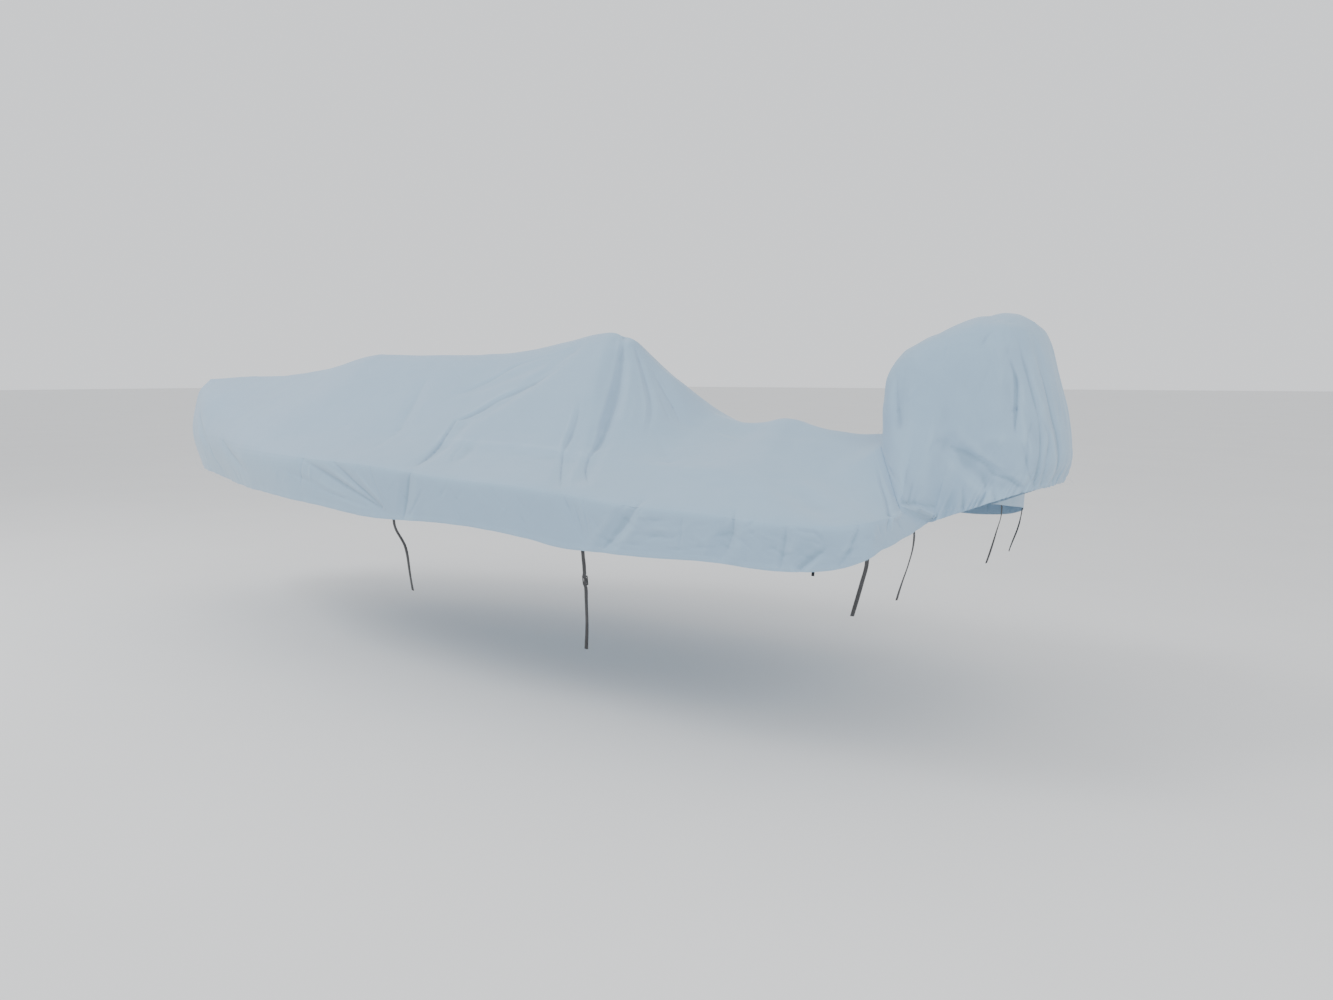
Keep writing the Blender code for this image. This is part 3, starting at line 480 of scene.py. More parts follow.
# %% Creases of the body panel
BODY_CREASES = table(
    CREASE_COLUMNS,
    [
        # port side: the front
        (0.61, -1.50, 1.04, -2.08, 0.03, 12, 14, 2, 5, 5, -0.5),
        (1.04, -2.08, 1.32, -3.00, -0.10, 14, 18, 4, 4, 2, -0.5),
        (0.75, -1.60, 1.20, -2.30, 0.03, 12, 16, 0, -3, -1, 0.0),
        (1.48, -1.94, 1.97, -2.56, 0.00, 12, 20, 4, 5, 1, 0.4),
        (1.75, -1.98, 2.20, -2.50, 0.00, 14, 20, 1, -3, 0, 0.0),
        (0.30, -1.90, 0.75, -2.80, 0.00, 14, 16, 1, 3, 2, 0.4),
        (1.62, -2.50, 1.70, -2.98, 0.00, 9, 12, 0, 3, 3, 0.3),
        (1.83, -2.45, 1.78, -2.98, 0.00, 9, 12, 0, 3, 2, -0.3),
        # port side: the fan into the first strap
        (2.86, -2.04, 2.83, -2.66, 0.00, 11, 11, 3, 4, 1, 0.3),
        (2.94, -2.03, 2.93, -2.62, 0.00, 12, 10, 0, -4, 0, 0.0),
        (2.85, -2.02, 3.55, -2.79, 0.00, 16, 9, 3, 7, 4, -0.4),
        (3.03, -2.02, 3.57, -2.80, 0.00, 14, 8, 1, -5, -3, 0.0),
        (3.17, -2.01, 3.56, -2.79, 0.00, 11, 8, 4, 7, 4, -0.4),
        (3.33, -2.02, 3.58, -2.76, 0.00, 10, 7, 0, -5, -2, 0.0),
        (3.49, -2.03, 3.58, -2.74, 0.00, 8, 7, 3, 4, 2, 0.3),
        (2.99, -2.62, 3.44, -2.80, 0.00, 14, 8, 2, 6, 2, -0.4),
        (2.60, -2.30, 3.10, -2.62, 0.00, 20, 14, 0, 4, 1, -0.3),
        (3.79, -2.02, 3.71, -2.95, 0.00, 8, 9, 4, 5, 4, -0.5),
        (3.88, -2.33, 3.76, -2.88, 0.00, 12, 7, 1, 4, 4, -0.5),
        # port side: soft folds that run from the peak towards the front
        (3.04, -0.37, 3.23, -0.92, 0.00, 20, 26, 2, 4, 2, -0.4),
        (3.23, -0.92, 3.30, -1.60, 0.00, 26, 30, 2, 3, 0, -0.3),
        (3.96, -0.54, 3.74, -0.68, 0.00, 18, 16, 0, 2, 1, -0.3),
        (4.30, -0.10, 3.95, -0.50, 0.00, 24, 22, 0, -3, -1, 0.0),
        # port side: fine lines below the peak
        (3.83, -0.99, 3.88, -1.37, 0.00, 8, 8, 1, 4, 4, -0.4),
        (3.88, -1.37, 3.94, -1.58, 0.00, 8, 8, 3, 3, 1, -0.3),
        (4.79, -0.10, 4.98, -0.25, 0.00, 9, 8, 1, 4, 3, -0.4),
        (4.98, -0.25, 5.08, -0.37, 0.00, 8, 9, 3, 2, 0, -0.4),
        (4.90, -0.26, 5.05, -0.45, 0.00, 9, 8, 1, 3, 0, -0.4),
        (4.66, -1.12, 4.78, -1.80, 0.00, 9, 10, 2, -3, -1, 0.0),
        (4.52, -0.14, 4.64, -0.72, 0.02, 34, 34, -3, -7, -3, 0.0),
        (4.76, -0.30, 4.88, -0.75, 0.00, 18, 20, 0, -3, 0, 0.0),
        (5.13, -0.92, 5.24, -0.90, 0.00, 26, 24, 2, 4, 1, 0.0),
        (5.22, -0.28, 5.62, -0.42, 0.00, 20, 26, 0, -4, 0, 0.0),
        (5.00, -0.59, 5.14, -0.81, 0.00, 22, 30, 1, 4, 3, -0.3),
        (5.14, -0.81, 5.26, -0.98, 0.00, 30, 26, 2, 3, 0, -0.3),
        # port side: the fan into the second strap
        (4.78, -2.06, 4.82, -2.36, 0.00, 7, 7, 2, 3, 1, -0.4),
        (4.84, -2.20, 4.87, -2.60, 0.00, 7, 7, 1, 3, 1, -0.4),
        (4.89, -1.97, 4.91, -2.75, 0.00, 7, 7, 2, 3, 1, -0.4),
        (4.74, -2.10, 4.86, -2.80, 0.00, 10, 8, 1, -2, -1, 0.0),
        (4.51, -2.56, 4.55, -2.76, 0.00, 8, 8, 1, 3, 1, -0.4),
        (4.34, -2.13, 4.43, -2.53, 0.00, 10, 10, 1, 2, 1, -0.3),
        (4.20, -2.06, 4.36, -2.70, 0.00, 16, 14, 1, -2, 0, 0.0),
        (4.09, -2.60, 4.13, -2.90, 0.00, 9, 9, 1, 2, 1, -0.3),
        (5.22, -1.98, 5.18, -2.17, 0.00, 8, 8, 1, 3, 1, -0.5),
        (5.12, -1.94, 5.10, -2.11, 0.00, 8, 8, 1, 3, 1, -0.5),
        # port side: the crumpled patch of the skirt
        (5.17, -2.56, 5.36, -2.56, 0.00, 14, 13, 2, 4, 2, 0.5),
        (5.19, -2.27, 5.36, -2.20, 0.00, 12, 12, 2, 3, 1, 0.5),
        (5.20, -2.42, 5.38, -2.40, 0.00, 12, 12, 0, -3, -1, 0.0),
        (5.41, -2.20, 5.39, -2.76, 0.00, 13, 13, 2, 4, 2, -0.5),
        (5.32, -2.81, 5.43, -2.78, 0.00, 7, 7, 1, 3, 1, 0.4),
        (5.46, -2.28, 5.55, -2.20, 0.00, 10, 10, 1, 2, 0, 0.4),
        (5.44, -2.73, 5.56, -2.69, 0.00, 9, 9, 1, 3, 1, 0.4),
        (5.09, -2.76, 5.22, -2.76, 0.00, 9, 9, 1, 3, 1, 0.4),
        (5.47, -2.40, 5.50, -2.62, 0.00, 11, 11, 1, -3, -1, 0.0),
        # port side: the cloth beside the skirt's main folds stays flat
        (5.12, -2.00, 4.93, -2.86, 0.00, 32, 32, -3, -6, -4, 0.0),
        (5.24, -2.10, 5.06, -2.88, 0.00, 28, 28, -2, -4, -3, 0.0),
        (5.72, -2.05, 5.66, -2.80, 0.00, 26, 26, -1, -3, -3, 0.0),
        # port side: the skirt towards the stern
        (5.61, -2.06, 5.52, -2.74, 0.00, 15, 22, 1, -4, -3, 0.0),
        (5.76, -1.95, 5.71, -2.16, 0.00, 10, 9, 2, 4, 1, -0.5),
        (5.80, -2.06, 5.79, -2.68, 0.00, 16, 16, 1, 2, 1, 0.4),
        (5.70, -2.40, 5.70, -2.90, 0.00, 14, 14, 1, 2, 2, -0.3),
        (6.03, -2.62, 5.96, -2.95, 0.00, 12, 14, 1, -4, -4, 0.0),
        (5.93, -2.10, 6.00, -2.15, 0.00, 12, 12, 2, 4, 3, 0.4),
        (6.00, -2.15, 6.03, -2.36, 0.00, 12, 12, 3, 3, 1, 0.4),
        (6.21, -2.15, 6.26, -2.60, 0.00, 12, 12, 1, -4, -1, 0.0),
        (6.20, -2.30, 6.30, -2.96, 0.00, 30, 40, 1, 5, 6, 0.2),
        (6.27, -2.10, 6.30, -2.50, 0.00, 10, 10, 1, 4, 2, -0.4),
        # port side: the corner at the hood's seam
        (6.38, -2.04, 6.50, -2.07, 0.00, 9, 9, -7, -9, -9, 0.0),
        (6.38, -2.04, 6.36, -2.50, 0.00, 9, 8, -7, -5, -1, 0.0),
        (6.42, -2.20, 6.43, -2.62, 0.00, 14, 12, 3, 5, 2, 0.0),
        # starboard side: the front and the fan into the first strap
        (0.70, 1.55, 1.12, 2.20, -0.02, 12, 16, 2, 5, 4, -0.5),
        (1.12, 2.20, 1.38, 3.00, 0.05, 16, 18, 4, 3, 2, -0.4),
        (1.55, 1.95, 1.98, 2.60, 0.00, 12, 18, 3, 5, 1, -0.4),
        (2.40, 2.03, 3.20, 2.78, 0.00, 16, 9, 2, 5, 3, 0.4),
        (2.75, 2.02, 3.40, 2.80, 0.00, 14, 8, 2, 4, 3, 0.4),
        (3.10, 2.02, 3.50, 2.80, 0.00, 12, 8, 1, -3, -1, 0.0),
        (4.05, 2.00, 3.93, 2.94, 0.00, 8, 9, 5, 7, 4, -0.5),
        (4.16, 2.25, 4.00, 2.86, 0.00, 12, 8, 1, 4, 3, -0.4),
        # starboard side: the folds below the peak
        (3.40, 0.60, 3.44, 1.20, 0.00, 16, 20, 2, 4, 1, -0.4),
        (4.90, 0.14, 5.16, 0.42, 0.00, 12, 12, 1, 4, 1, -0.4),
        # starboard side: the skirt
        (4.66, 2.02, 4.86, 2.94, 0.00, 9, 7, 2, 4, 3, 0.4),
        (4.40, 2.08, 4.80, 2.90, 0.00, 11, 8, 1, 3, 2, 0.4),
        (5.48, 2.10, 5.45, 2.76, 0.00, 13, 12, 3, 5, 2, -0.4),
        (5.92, 2.05, 5.94, 2.92, 0.00, 8, 9, 4, 6, 4, -0.4),
        (6.20, 2.15, 6.30, 2.96, 0.00, 34, 40, 2, 6, 5, 0.0),
        (6.47, 1.35, 6.46, 1.95, 0.00, 8, 8, 2, 6, 4, -0.4),
    ],
)
print(len(BODY_CREASES["along"]), "creases placed on the body panel")

# %% Tucks of the body panel
BODY_TUCKS = [
    # the spine: fuller behind the peak's tip and in the saddle, and flatter on the far side of the slope
    tuck(0.0, 1.0, (4.56, -0.12, 40, -6), (4.58, 0.0, 45, -16), (4.60, 0.14, 45, -8)),
    tuck(
        0.0,
        1.0,
        (4.64, 0.14, 60, 3),
        (4.76, 0.22, 90, 10),
        (4.86, 0.30, 120, 18),
        (4.94, 0.38, 140, 25),
        (5.02, 0.46, 140, 22),
        (5.14, 0.58, 130, 6),
    ),
    tuck(
        0.0,
        1.0,
        (5.22, 0.0, 90, 0),
        (5.33, 0.0, 100, -7),
        (5.44, 0.0, 110, -15),
        (5.56, 0.0, 110, -20),
        (5.72, 0.0, 120, -14),
        (6.00, 0.0, 140, -13),
        (6.24, 0.0, 130, -5),
    ),
    # port side: the sharp edge of the side deck
    tuck(0.9, 1.0, (3.56, -1.0, 80, -1), (3.78, -1.0, 100, -8), (4.45, -1.0, 100, -9), (4.70, -1.0, 80, -3)),
    tuck(0.6, 1.0, (4.74, -1.0, 80, -2), (5.10, -1.0, 90, -6), (5.50, -1.0, 90, -4), (5.75, -1.0, 80, 0)),
    # port side: the two arms that run from the peak towards the front
    tuck(
        -0.7,
        1.6,
        (4.17, -0.28, 18, 1),
        (3.98, -0.46, 26, 6),
        (3.82, -0.57, 30, 11),
        (3.72, -0.70, 24, 13),
        (3.64, -0.78, 10, 6),
    ),
    tuck(-0.6, 1.6, (4.12, -0.17, 18, 0), (3.77, -0.22, 22, 5), (3.66, -0.32, 24, 7), (3.46, -0.50, 22, 1)),
    tuck(-0.5, 1.4, (3.62, -0.79, 10, 7), (3.68, -1.13, 11, 12), (3.73, -1.50, 10, 9), (3.77, -1.85, 8, 1)),
    # port side: the great tuck, its neighbour in front and its neighbour behind
    tuck(
        -0.95,
        1.1,
        (4.54, -0.02, 20, 5),
        (4.62, -0.22, 34, 11),
        (4.68, -0.45, 48, 16),
        (4.71, -0.65, 44, 15),
        (4.73, -0.82, 30, 12),
        (4.735, -1.00, 11, 6),
        (4.77, -1.25, 8, 6),
        (4.86, -1.65, 8, 2),
    ),
    tuck(
        -0.9,
        1.1,
        (4.46, -0.58, 22, 1),
        (4.51, -0.75, 30, 9),
        (4.53, -0.90, 28, 11),
        (4.55, -1.04, 10, 6),
        (4.59, -1.20, 7, 6),
        (4.66, -1.50, 7, 6),
        (4.75, -1.90, 7, 2),
    ),
    tuck(
        -0.85,
        1.3,
        (4.64, -0.05, 12, 3),
        (4.73, -0.15, 20, 7),
        (4.83, -0.28, 26, 9),
        (4.90, -0.42, 26, 8),
        (4.96, -0.64, 22, 1),
    ),
    # port side: the pull of the second strap, and the folds of the skirt behind it
    tuck(-0.8, 1.3, (5.19, -1.86, 10, 2), (5.16, -2.10, 26, 6), (5.10, -2.45, 30, 7), (4.99, -2.90, 12, 3)),
    tuck(
        -0.85,
        1.0,
        (5.67, -1.84, 8, 2),
        (5.655, -2.02, 12, 5),
        (5.645, -2.30, 30, 7),
        (5.62, -2.60, 40, 7),
        (5.59, -2.86, 36, 4),
    ),
    tuck(-0.8, 1.2, (5.885, -2.05, 10, 2), (5.875, -2.40, 18, 5), (5.85, -2.92, 18, 4)),
    tuck(-0.8, 0.9, (6.04, -2.48, 14, 3), (5.99, -2.70, 24, 8), (5.93, -2.95, 24, 7)),
    tuck(-0.75, 1.2, (6.175, -1.95, 8, 3), (6.15, -2.35, 15, 7), (6.13, -2.66, 18, 7), (6.09, -2.92, 22, 5)),
    # port side: the corner at the hood's seam
    tuck(-0.5, 1.2, (6.50, -1.30, 7, 2), (6.48, -1.46, 8, 6), (6.45, -1.72, 10, 8), (6.39, -1.96, 12, 8)),
    tuck(0.5, 1.2, (6.39, -1.96, 12, 7), (6.34, -2.26, 12, 5), (6.33, -2.50, 10, 1)),
    # starboard side
    tuck(0.7, 1.5, (4.16, 0.20, 18, 1), (3.92, 0.40, 24, 5), (3.70, 0.56, 20, 8), (3.58, 0.66, 9, 3)),
    tuck(0.5, 1.4, (3.84, 0.66, 10, 5), (3.81, 1.10, 9, 7), (3.79, 1.74, 8, 2)),
    tuck(
        0.9,
        1.1,
        (4.56, 0.04, 18, 4),
        (4.63, 0.25, 34, 11),
        (4.67, 0.52, 42, 14),
        (4.68, 0.84, 16, 9),
        (4.70, 1.20, 8, 7),
        (4.74, 1.70, 8, 2),
    ),
    tuck(0.8, 1.3, (4.68, 0.08, 12, 3), (4.82, 0.28, 22, 8), (4.95, 0.60, 20, 1)),
    tuck(0.8, 1.2, (5.27, 1.85, 10, 2), (5.18, 2.30, 26, 6), (5.05, 2.90, 12, 3)),
    tuck(0.8, 1.1, (5.73, 1.90, 9, 2), (5.71, 2.30, 26, 7), (5.68, 2.88, 30, 4)),
    tuck(0.7, 1.2, (6.13, 1.98, 8, 3), (6.12, 2.50, 16, 7), (6.09, 2.92, 18, 5)),
]
print(len(BODY_TUCKS), "tucks drawn on the body panel")

# %% [markdown]
# The hood is fuller than what it covers, and a cord gathers its hem. So it hangs in long folds at its back
# corners, with one deep pocket where the cloth overhangs the gathered hem on the port side.

# %% Creases of the hood
HOOD_CREASES = table(
    CREASE_COLUMNS,
    [
        # port side, from the front
        (-0.55, 1.30, -0.70, 2.40, 0.00, 14, 12, 2, 4, 1, -0.4),
        (-1.05, 1.62, -1.38, 2.06, 0.00, 10, 10, 2, 5, 4, -0.5),
        (-1.38, 2.06, -1.60, 2.24, 0.00, 10, 10, 4, 3, 0, -0.5),
        (-1.28, 2.98, -1.74, 2.84, 0.00, 8, 8, 5, 6, 1, -0.5),
        (-1.80, 2.55, -1.95, 2.80, 0.00, 12, 10, 1, -3, -1, 0.0),
        (-2.28, 1.06, -2.34, 1.30, 0.00, 13, 12, 1, 3, 1, -0.4),
        (-2.57, 1.82, -2.63, 2.12, 0.00, 20, 18, 1, 2, 2, -0.3),
        (-2.63, 2.12, -2.50, 2.30, 0.00, 16, 12, 2, 4, 1, -0.4),
        (-2.34, 2.15, -2.52, 2.92, 0.00, 55, 55, -2, -10, -9, 0.0),
        (-2.00, 2.15, -2.00, 2.92, 0.00, 24, 24, 1, 5, 3, 0.0),
        (-2.80, 2.30, -2.95, 2.94, 0.00, 70, 70, -4, -15, -17, 0.0),
        (-3.55, 0.90, -3.50, 1.30, 0.00, 18, 18, 1, 3, 0, 0.3),
        (-4.50, 1.68, -4.27, 1.73, 0.00, 8, 8, 6, 5, 1, 0.4),
        (-4.20, 0.80, -4.30, 1.10, 0.00, 14, 14, 0, 3, 1, -0.3),
        (-5.05, 1.10, -5.30, 1.62, 0.05, 14, 14, 0, -4, -3, 0.0),
        (-5.55, 2.10, -5.62, 2.88, 0.00, 10, 14, 1, -5, -5, 0.0),
        (-5.42, 1.80, -5.56, 2.20, 0.00, 12, 12, 1, -4, -2, 0.0),
        (-3.60, 2.02, -4.70, 1.98, 0.00, 22, 22, -1, -3, -2, 0.0),
        (-3.40, 2.50, -3.45, 2.98, 0.00, 12, 12, 0, 3, 5, -0.3),
        (-4.34, 2.66, -4.60, 2.97, 0.00, 9, 9, 1, 6, 7, -0.4),
        (-2.04, 2.95, -2.50, 2.92, 0.00, 9, 9, -9, -10, -10, 0.0),
        (-2.50, 2.92, -3.05, 2.92, 0.00, 9, 9, -10, -10, -8, 0.0),
        (-3.05, 2.92, -3.20, 3.00, 0.00, 9, 9, -8, -7, -6, 0.0),
        (-2.06, 2.90, -2.40, 2.86, 0.00, 8, 8, 4, 6, 6, 0.3),
        (-2.40, 2.86, -2.95, 2.82, 0.00, 8, 8, 6, 6, 4, 0.3),
        (-2.24, 2.62, -2.22, 2.88, 0.00, 9, 8, 1, 5, 6, -0.4),
        (-2.42, 2.68, -2.34, 2.85, 0.00, 8, 8, 1, 3, 4, 0.4),
        # starboard side, from the front
        (0.60, 1.35, 0.72, 2.30, 0.00, 13, 12, 1, 4, 1, -0.4),
        (1.35, 1.55, 1.60, 2.30, 0.00, 10, 11, 2, 6, 2, -0.5),
        (2.55, 1.70, 2.80, 2.50, 0.00, 18, 18, 2, 5, 3, 0.4),
        (3.70, 0.95, 3.85, 1.60, 0.00, 16, 16, 1, 4, 1, -0.3),
        (5.20, 2.00, 5.44, 2.85, 0.00, 12, 16, 2, -6, -6, 0.0),
        (3.70, 2.60, 3.80, 2.98, 0.00, 9, 9, 1, 6, 6, -0.4),
        (4.10, 2.55, 4.25, 2.97, 0.00, 9, 9, 1, 6, 7, -0.4),
        # the back
        (5.90, 1.20, 5.95, 2.30, 0.00, 20, 20, 0, 4, 2, 0.2),
        (-5.92, 2.30, -5.98, 2.95, 0.00, 12, 12, 1, 6, 6, 0.3),
    ],
)
print(len(HOOD_CREASES["along"]), "creases placed on the hood")

# %% Tucks of the hood
HOOD_TUCKS = [
    # port side: the full places of the crown's shoulder and of the upper front corner
    tuck(
        0.0,
        1.0,
        (-1.20, 0.68, 60, -4),
        (-1.53, 0.62, 70, -12),
        (-1.80, 0.45, 80, -17),
        (-1.90, 0.30, 80, -14),
        (-2.20, 0.20, 70, -2),
    ),
    tuck(
        0.0,
        1.0,
        (-0.62, 1.12, 50, -5),
        (-0.62, 1.35, 60, -15),
        (-0.64, 1.60, 65, -19),
        (-0.64, 1.85, 60, -12),
        (-0.68, 2.10, 50, -3),
    ),
    # port side: the slit behind the middle, and the long folds of the back corner
    tuck(
        -0.85,
        0.7,
        (-4.44, 1.27, 8, 2),
        (-4.54, 1.34, 12, 6),
        (-4.61, 1.43, 20, 11),
        (-4.56, 1.56, 18, 10),
        (-4.50, 1.69, 16, 9),
        (-4.44, 1.85, 9, 5),
        (-4.49, 1.97, 7, 1),
    ),
    tuck(
        -0.7,
        1.0,
        (-4.70, 0.94, 10, 1),
        (-4.88, 1.16, 15, 5),
        (-5.05, 1.40, 10, 5),
        (-5.15, 1.66, 10, 6),
        (-5.20, 1.93, 11, 7),
        (-5.22, 2.27, 14, 8),
        (-5.34, 2.86, 14, 7),
    ),
    tuck(
        -0.7,
        1.0,
        (-5.30, 1.14, 9, 1),
        (-5.46, 1.42, 9, 5),
        (-5.58, 1.70, 10, 6),
        (-5.69, 1.98, 10, 6),
        (-5.71, 2.29, 11, 6),
        (-5.82, 2.88, 14, 6),
    ),
    tuck(-0.7, 0.9, (-5.19, 1.70, 9, 2), (-5.38, 1.92, 14, 6), (-5.34, 2.20, 22, 9), (-5.48, 2.86, 18, 7)),
    tuck(-0.6, 1.0, (-4.95, 1.79, 8, 2), (-4.81, 1.97, 10, 5), (-4.85, 2.18, 10, 6), (-5.28, 2.76, 9, 3)),
    tuck(-0.6, 1.0, (-4.62, 2.00, 8, 1), (-4.82, 2.20, 9, 5), (-4.99, 2.55, 9, 2)),
    # port side: the pocket, with its broad bank above and its two dark lines
    tuck(0.9, 0.5, (-3.02, 2.17, 14, 2), (-3.60, 2.26, 60, 4), (-4.25, 2.38, 110, 7), (-4.85, 2.50, 90, 3)),
    tuck(0.6, 0.8, (-3.00, 2.15, 10, 2), (-3.70, 2.27, 18, 6), (-4.15, 2.40, 20, 7), (-4.60, 2.50, 16, 1)),
    tuck(0.6, 0.9, (-3.80, 2.33, 9, 1), (-4.25, 2.48, 13, 7), (-4.65, 2.59, 15, 8), (-5.10, 2.84, 11, 5)),
    # port side: gathers above the hem
    tuck(-0.5, 1.0, (-3.60, 2.58, 8, 1), (-3.70, 2.72, 10, 6), (-3.92, 2.98, 10, 8)),
    tuck(-0.5, 1.0, (-3.90, 2.46, 8, 1), (-4.16, 2.66, 9, 5), (-4.28, 2.84, 11, 7), (-4.30, 2.98, 10, 7)),
    # starboard side
    tuck(0.8, 0.8, (4.50, 1.20, 8, 2), (4.62, 1.45, 18, 9), (4.66, 1.75, 14, 8), (4.80, 2.10, 8, 2)),
    tuck(0.7, 1.0, (4.95, 0.96, 10, 2), (5.12, 1.50, 11, 6), (5.20, 2.10, 14, 8), (5.32, 2.86, 14, 7)),
    tuck(0.7, 1.0, (5.38, 0.98, 10, 2), (5.52, 1.70, 11, 6), (5.62, 2.30, 14, 7), (5.70, 2.86, 14, 6)),
    tuck(-0.8, 0.4, (3.15, 2.20, 14, 2), (3.80, 2.32, 60, 6), (4.40, 2.48, 80, 7), (4.95, 2.68, 50, 3)),
    tuck(-0.6, 0.9, (3.60, 2.34, 10, 2), (4.20, 2.50, 15, 8), (4.65, 2.66, 15, 7), (4.98, 2.88, 10, 3)),
]
print(len(HOOD_TUCKS), "tucks drawn on the hood")

# %% [markdown]
# Between the placed creases lie small ones that no one would draw: the marks of folding, and short lines of
# tension below the gunwale. They are strewn by chance, but from a seeded row of numbers, so every run of this
# notebook gives the same cloth.

# %% Small creases by chance


def strewn(number, seed, along, girth, reach, width, depth):
    """Rows of small creases. Along and girth are ranges for the middle, and reach the longest way of each."""
    chance = np.random.default_rng(seed)
    rows = []
    for _ in range(number):
        middle = chance.uniform(*along), chance.uniform(*girth)
        half = chance.uniform(0.3, 0.5) * np.array(reach) * chance.choice((-1, 1), 2)
        size, deep = chance.uniform(*width), chance.uniform(*depth) * chance.choice((1, 1, 1, -1))
        ends = (middle[0] - half[0], middle[1] - half[1], middle[0] + half[0], middle[1] + half[1])
        rows.append((*ends, 0.0, size, size * chance.uniform(0.8, 1.2), 0, deep, 0, chance.uniform(-0.5, 0.5)))
    return table(CREASE_COLUMNS, rows)


def together(*tables):
    return {name: np.concatenate([rows[name] for rows in tables]) for name in tables[0]}


BODY_CREASES = together(
    BODY_CREASES,
    strewn(70, 1, (0.4, 6.2), (-2.6, -2.15), (0.12, 0.5), (8, 13), (0.8, 2.2)),
    strewn(70, 2, (0.4, 6.2), (2.15, 2.6), (0.12, 0.5), (8, 13), (0.8, 2.4)),
    strewn(46, 3, (0.6, 6.0), (-1.5, -0.1), (0.40, 0.30), (13, 24), (0.7, 1.8)),
    strewn(52, 4, (0.6, 6.0), (0.1, 1.5), (0.40, 0.30), (13, 24), (0.7, 2.0)),
    strewn(40, 5, (5.0, 6.2), (-2.8, -2.2), (0.16, 0.3), (7, 11), (1.0, 2.6)),
)
HOOD_CREASES = together(
    HOOD_CREASES,
    strewn(40, 6, (-5.6, 5.6), (0.5, 2.4), (0.7, 0.5), (10, 18), (0.8, 2.4)),
    strewn(26, 7, (-5.9, -3.4), (1.2, 2.7), (0.4, 0.5), (8, 13), (1.0, 3.0)),
)
print(len(BODY_CREASES["along"]), "creases on the body and", len(HOOD_CREASES["along"]), "on the hood")

# %% [markdown]
# ## Unevenness
#
# No cloth of this size is fair. It swells and sinks by a few millimetres between its supports. A sum of long
# waves that run in all directions does that. The waves depend on the place in space and not on the sheet, so
# two sheets that meet move alike along their common edge.

# %% Long waves
WAVE_COUNT = 24


def waves(points, shortest, longest, seed):
    """An unevenness of about 1 either way, from waves of those lengths in all directions."""
    chance = np.random.default_rng(seed)
    ways = chance.normal(size=(WAVE_COUNT, 3))
    length = chance.uniform(shortest, longest, (WAVE_COUNT, 1))
    ways *= 2 * np.pi / length / np.linalg.norm(ways, axis=1, keepdims=True)
    start = chance.uniform(0, 2 * np.pi, WAVE_COUNT)
    return np.sin(points @ ways.T + start).sum(-1) / math.sqrt(WAVE_COUNT / 2)


def eased(value, start, end):
    """From 0 at start to 1 at end, with a soft beginning and a soft end."""
    t = np.clip((value - start) / (end - start), 0, 1)
    return t * t * (3 - 2 * t)


# %% [markdown]
# ## Outward
#
# A crease moves the cloth along its normal. The normals come from the smooth surface by a small step along it
# and a small step down it, so they don't depend on how fine the mesh is, and sheets that meet get the same
# normal along their common edge.

# %% Normals of the smooth surface
BODY_INSIDE = np.array([1.0, 0.0, 0.9 - PEAK_UP])
HOOD_INSIDE = np.array([2.1, 0.0, 1.4 - PEAK_UP])


def unit(vectors):
    """The vectors at length 1."""
    return vectors / np.maximum(np.linalg.norm(vectors, axis=-1, keepdims=True), 1e-12)


def turned_away(normals, points, inside):
    """Unit normals at points, on the side away from the place inside."""
    normals = unit(normals)
    return normals * np.sign(np.sum(normals * (points - inside), -1).mean())


def outward(surface, along, girth, inside):
    """Unit normals of a smooth surface, on the side away from the place inside."""
    step = 0.002
    course = surface(along + step, girth) - surface(along - step, girth)
    down = surface(along, girth + step) - surface(along, girth - step)
    return turned_away(np.cross(course, down), surface(along, girth), inside)


def hood_round(around, girth):
    """The hood's surface, with the way round it carried on beyond its back."""
    return hood_surface((around + 6) % 12 - 6, girth)


# %% [markdown]
# ## The grids
#
# The cloth is a grid of columns, one along each rib place, and rows from the spine to the hem. The columns
# stand close where the creases are close. A sharp edge that crosses a grid aslant comes out as a saw, so the
# columns below the peak lean aft with the tucks there. The body panel is five sheets in this notebook, two
# tops to port, one to starboard and a skirt on either side, because one mesh of that fineness would be too
# heavy. They meet point on point, so no edge shows where the real cloth has none. The port side gets finer
# grids, because it has the finer creases.

# %% Places of the grids


def steps(*stops):
    """Places from each stop to the next, no further apart than the number beside the stop."""
    runs = [
        np.linspace(start, end, max(1, math.ceil((end - start) / step)) + 1)[1:]
        for (start, step), (end, _) in zip(stops, stops[1:])
    ]
    return np.concatenate([[stops[0][0]], *runs])


COLUMNS = steps((0.0, 0.0150), (2.75, 0.0087), (5.35, 0.0095), (6.25, 0.0085), (SEAM_ALONG - 0.012, 1))
SEAM_COLUMNS = np.array([0.006, 0.003, 0.0])  # the last ones, by their distance from the seam
COLUMNS = np.concatenate([COLUMNS, SEAM_ALONG - SEAM_COLUMNS])
FINE_COLUMNS = np.sort(np.concatenate([COLUMNS, (COLUMNS[1:] + COLUMNS[:-1]) / 2]))
TOP_SPLIT = np.searchsorted(COLUMNS, 3.05)  # the column where the two tops of the port side meet


def top_rows(slope, deck):
    """Girth of a top's rows, by their steps on the slope and on the side deck."""
    return steps((0.0, 0.007), (0.014, slope), (1.0, deck), (1.84, 0.026), (1.985, 0.009), (2.0, 1))


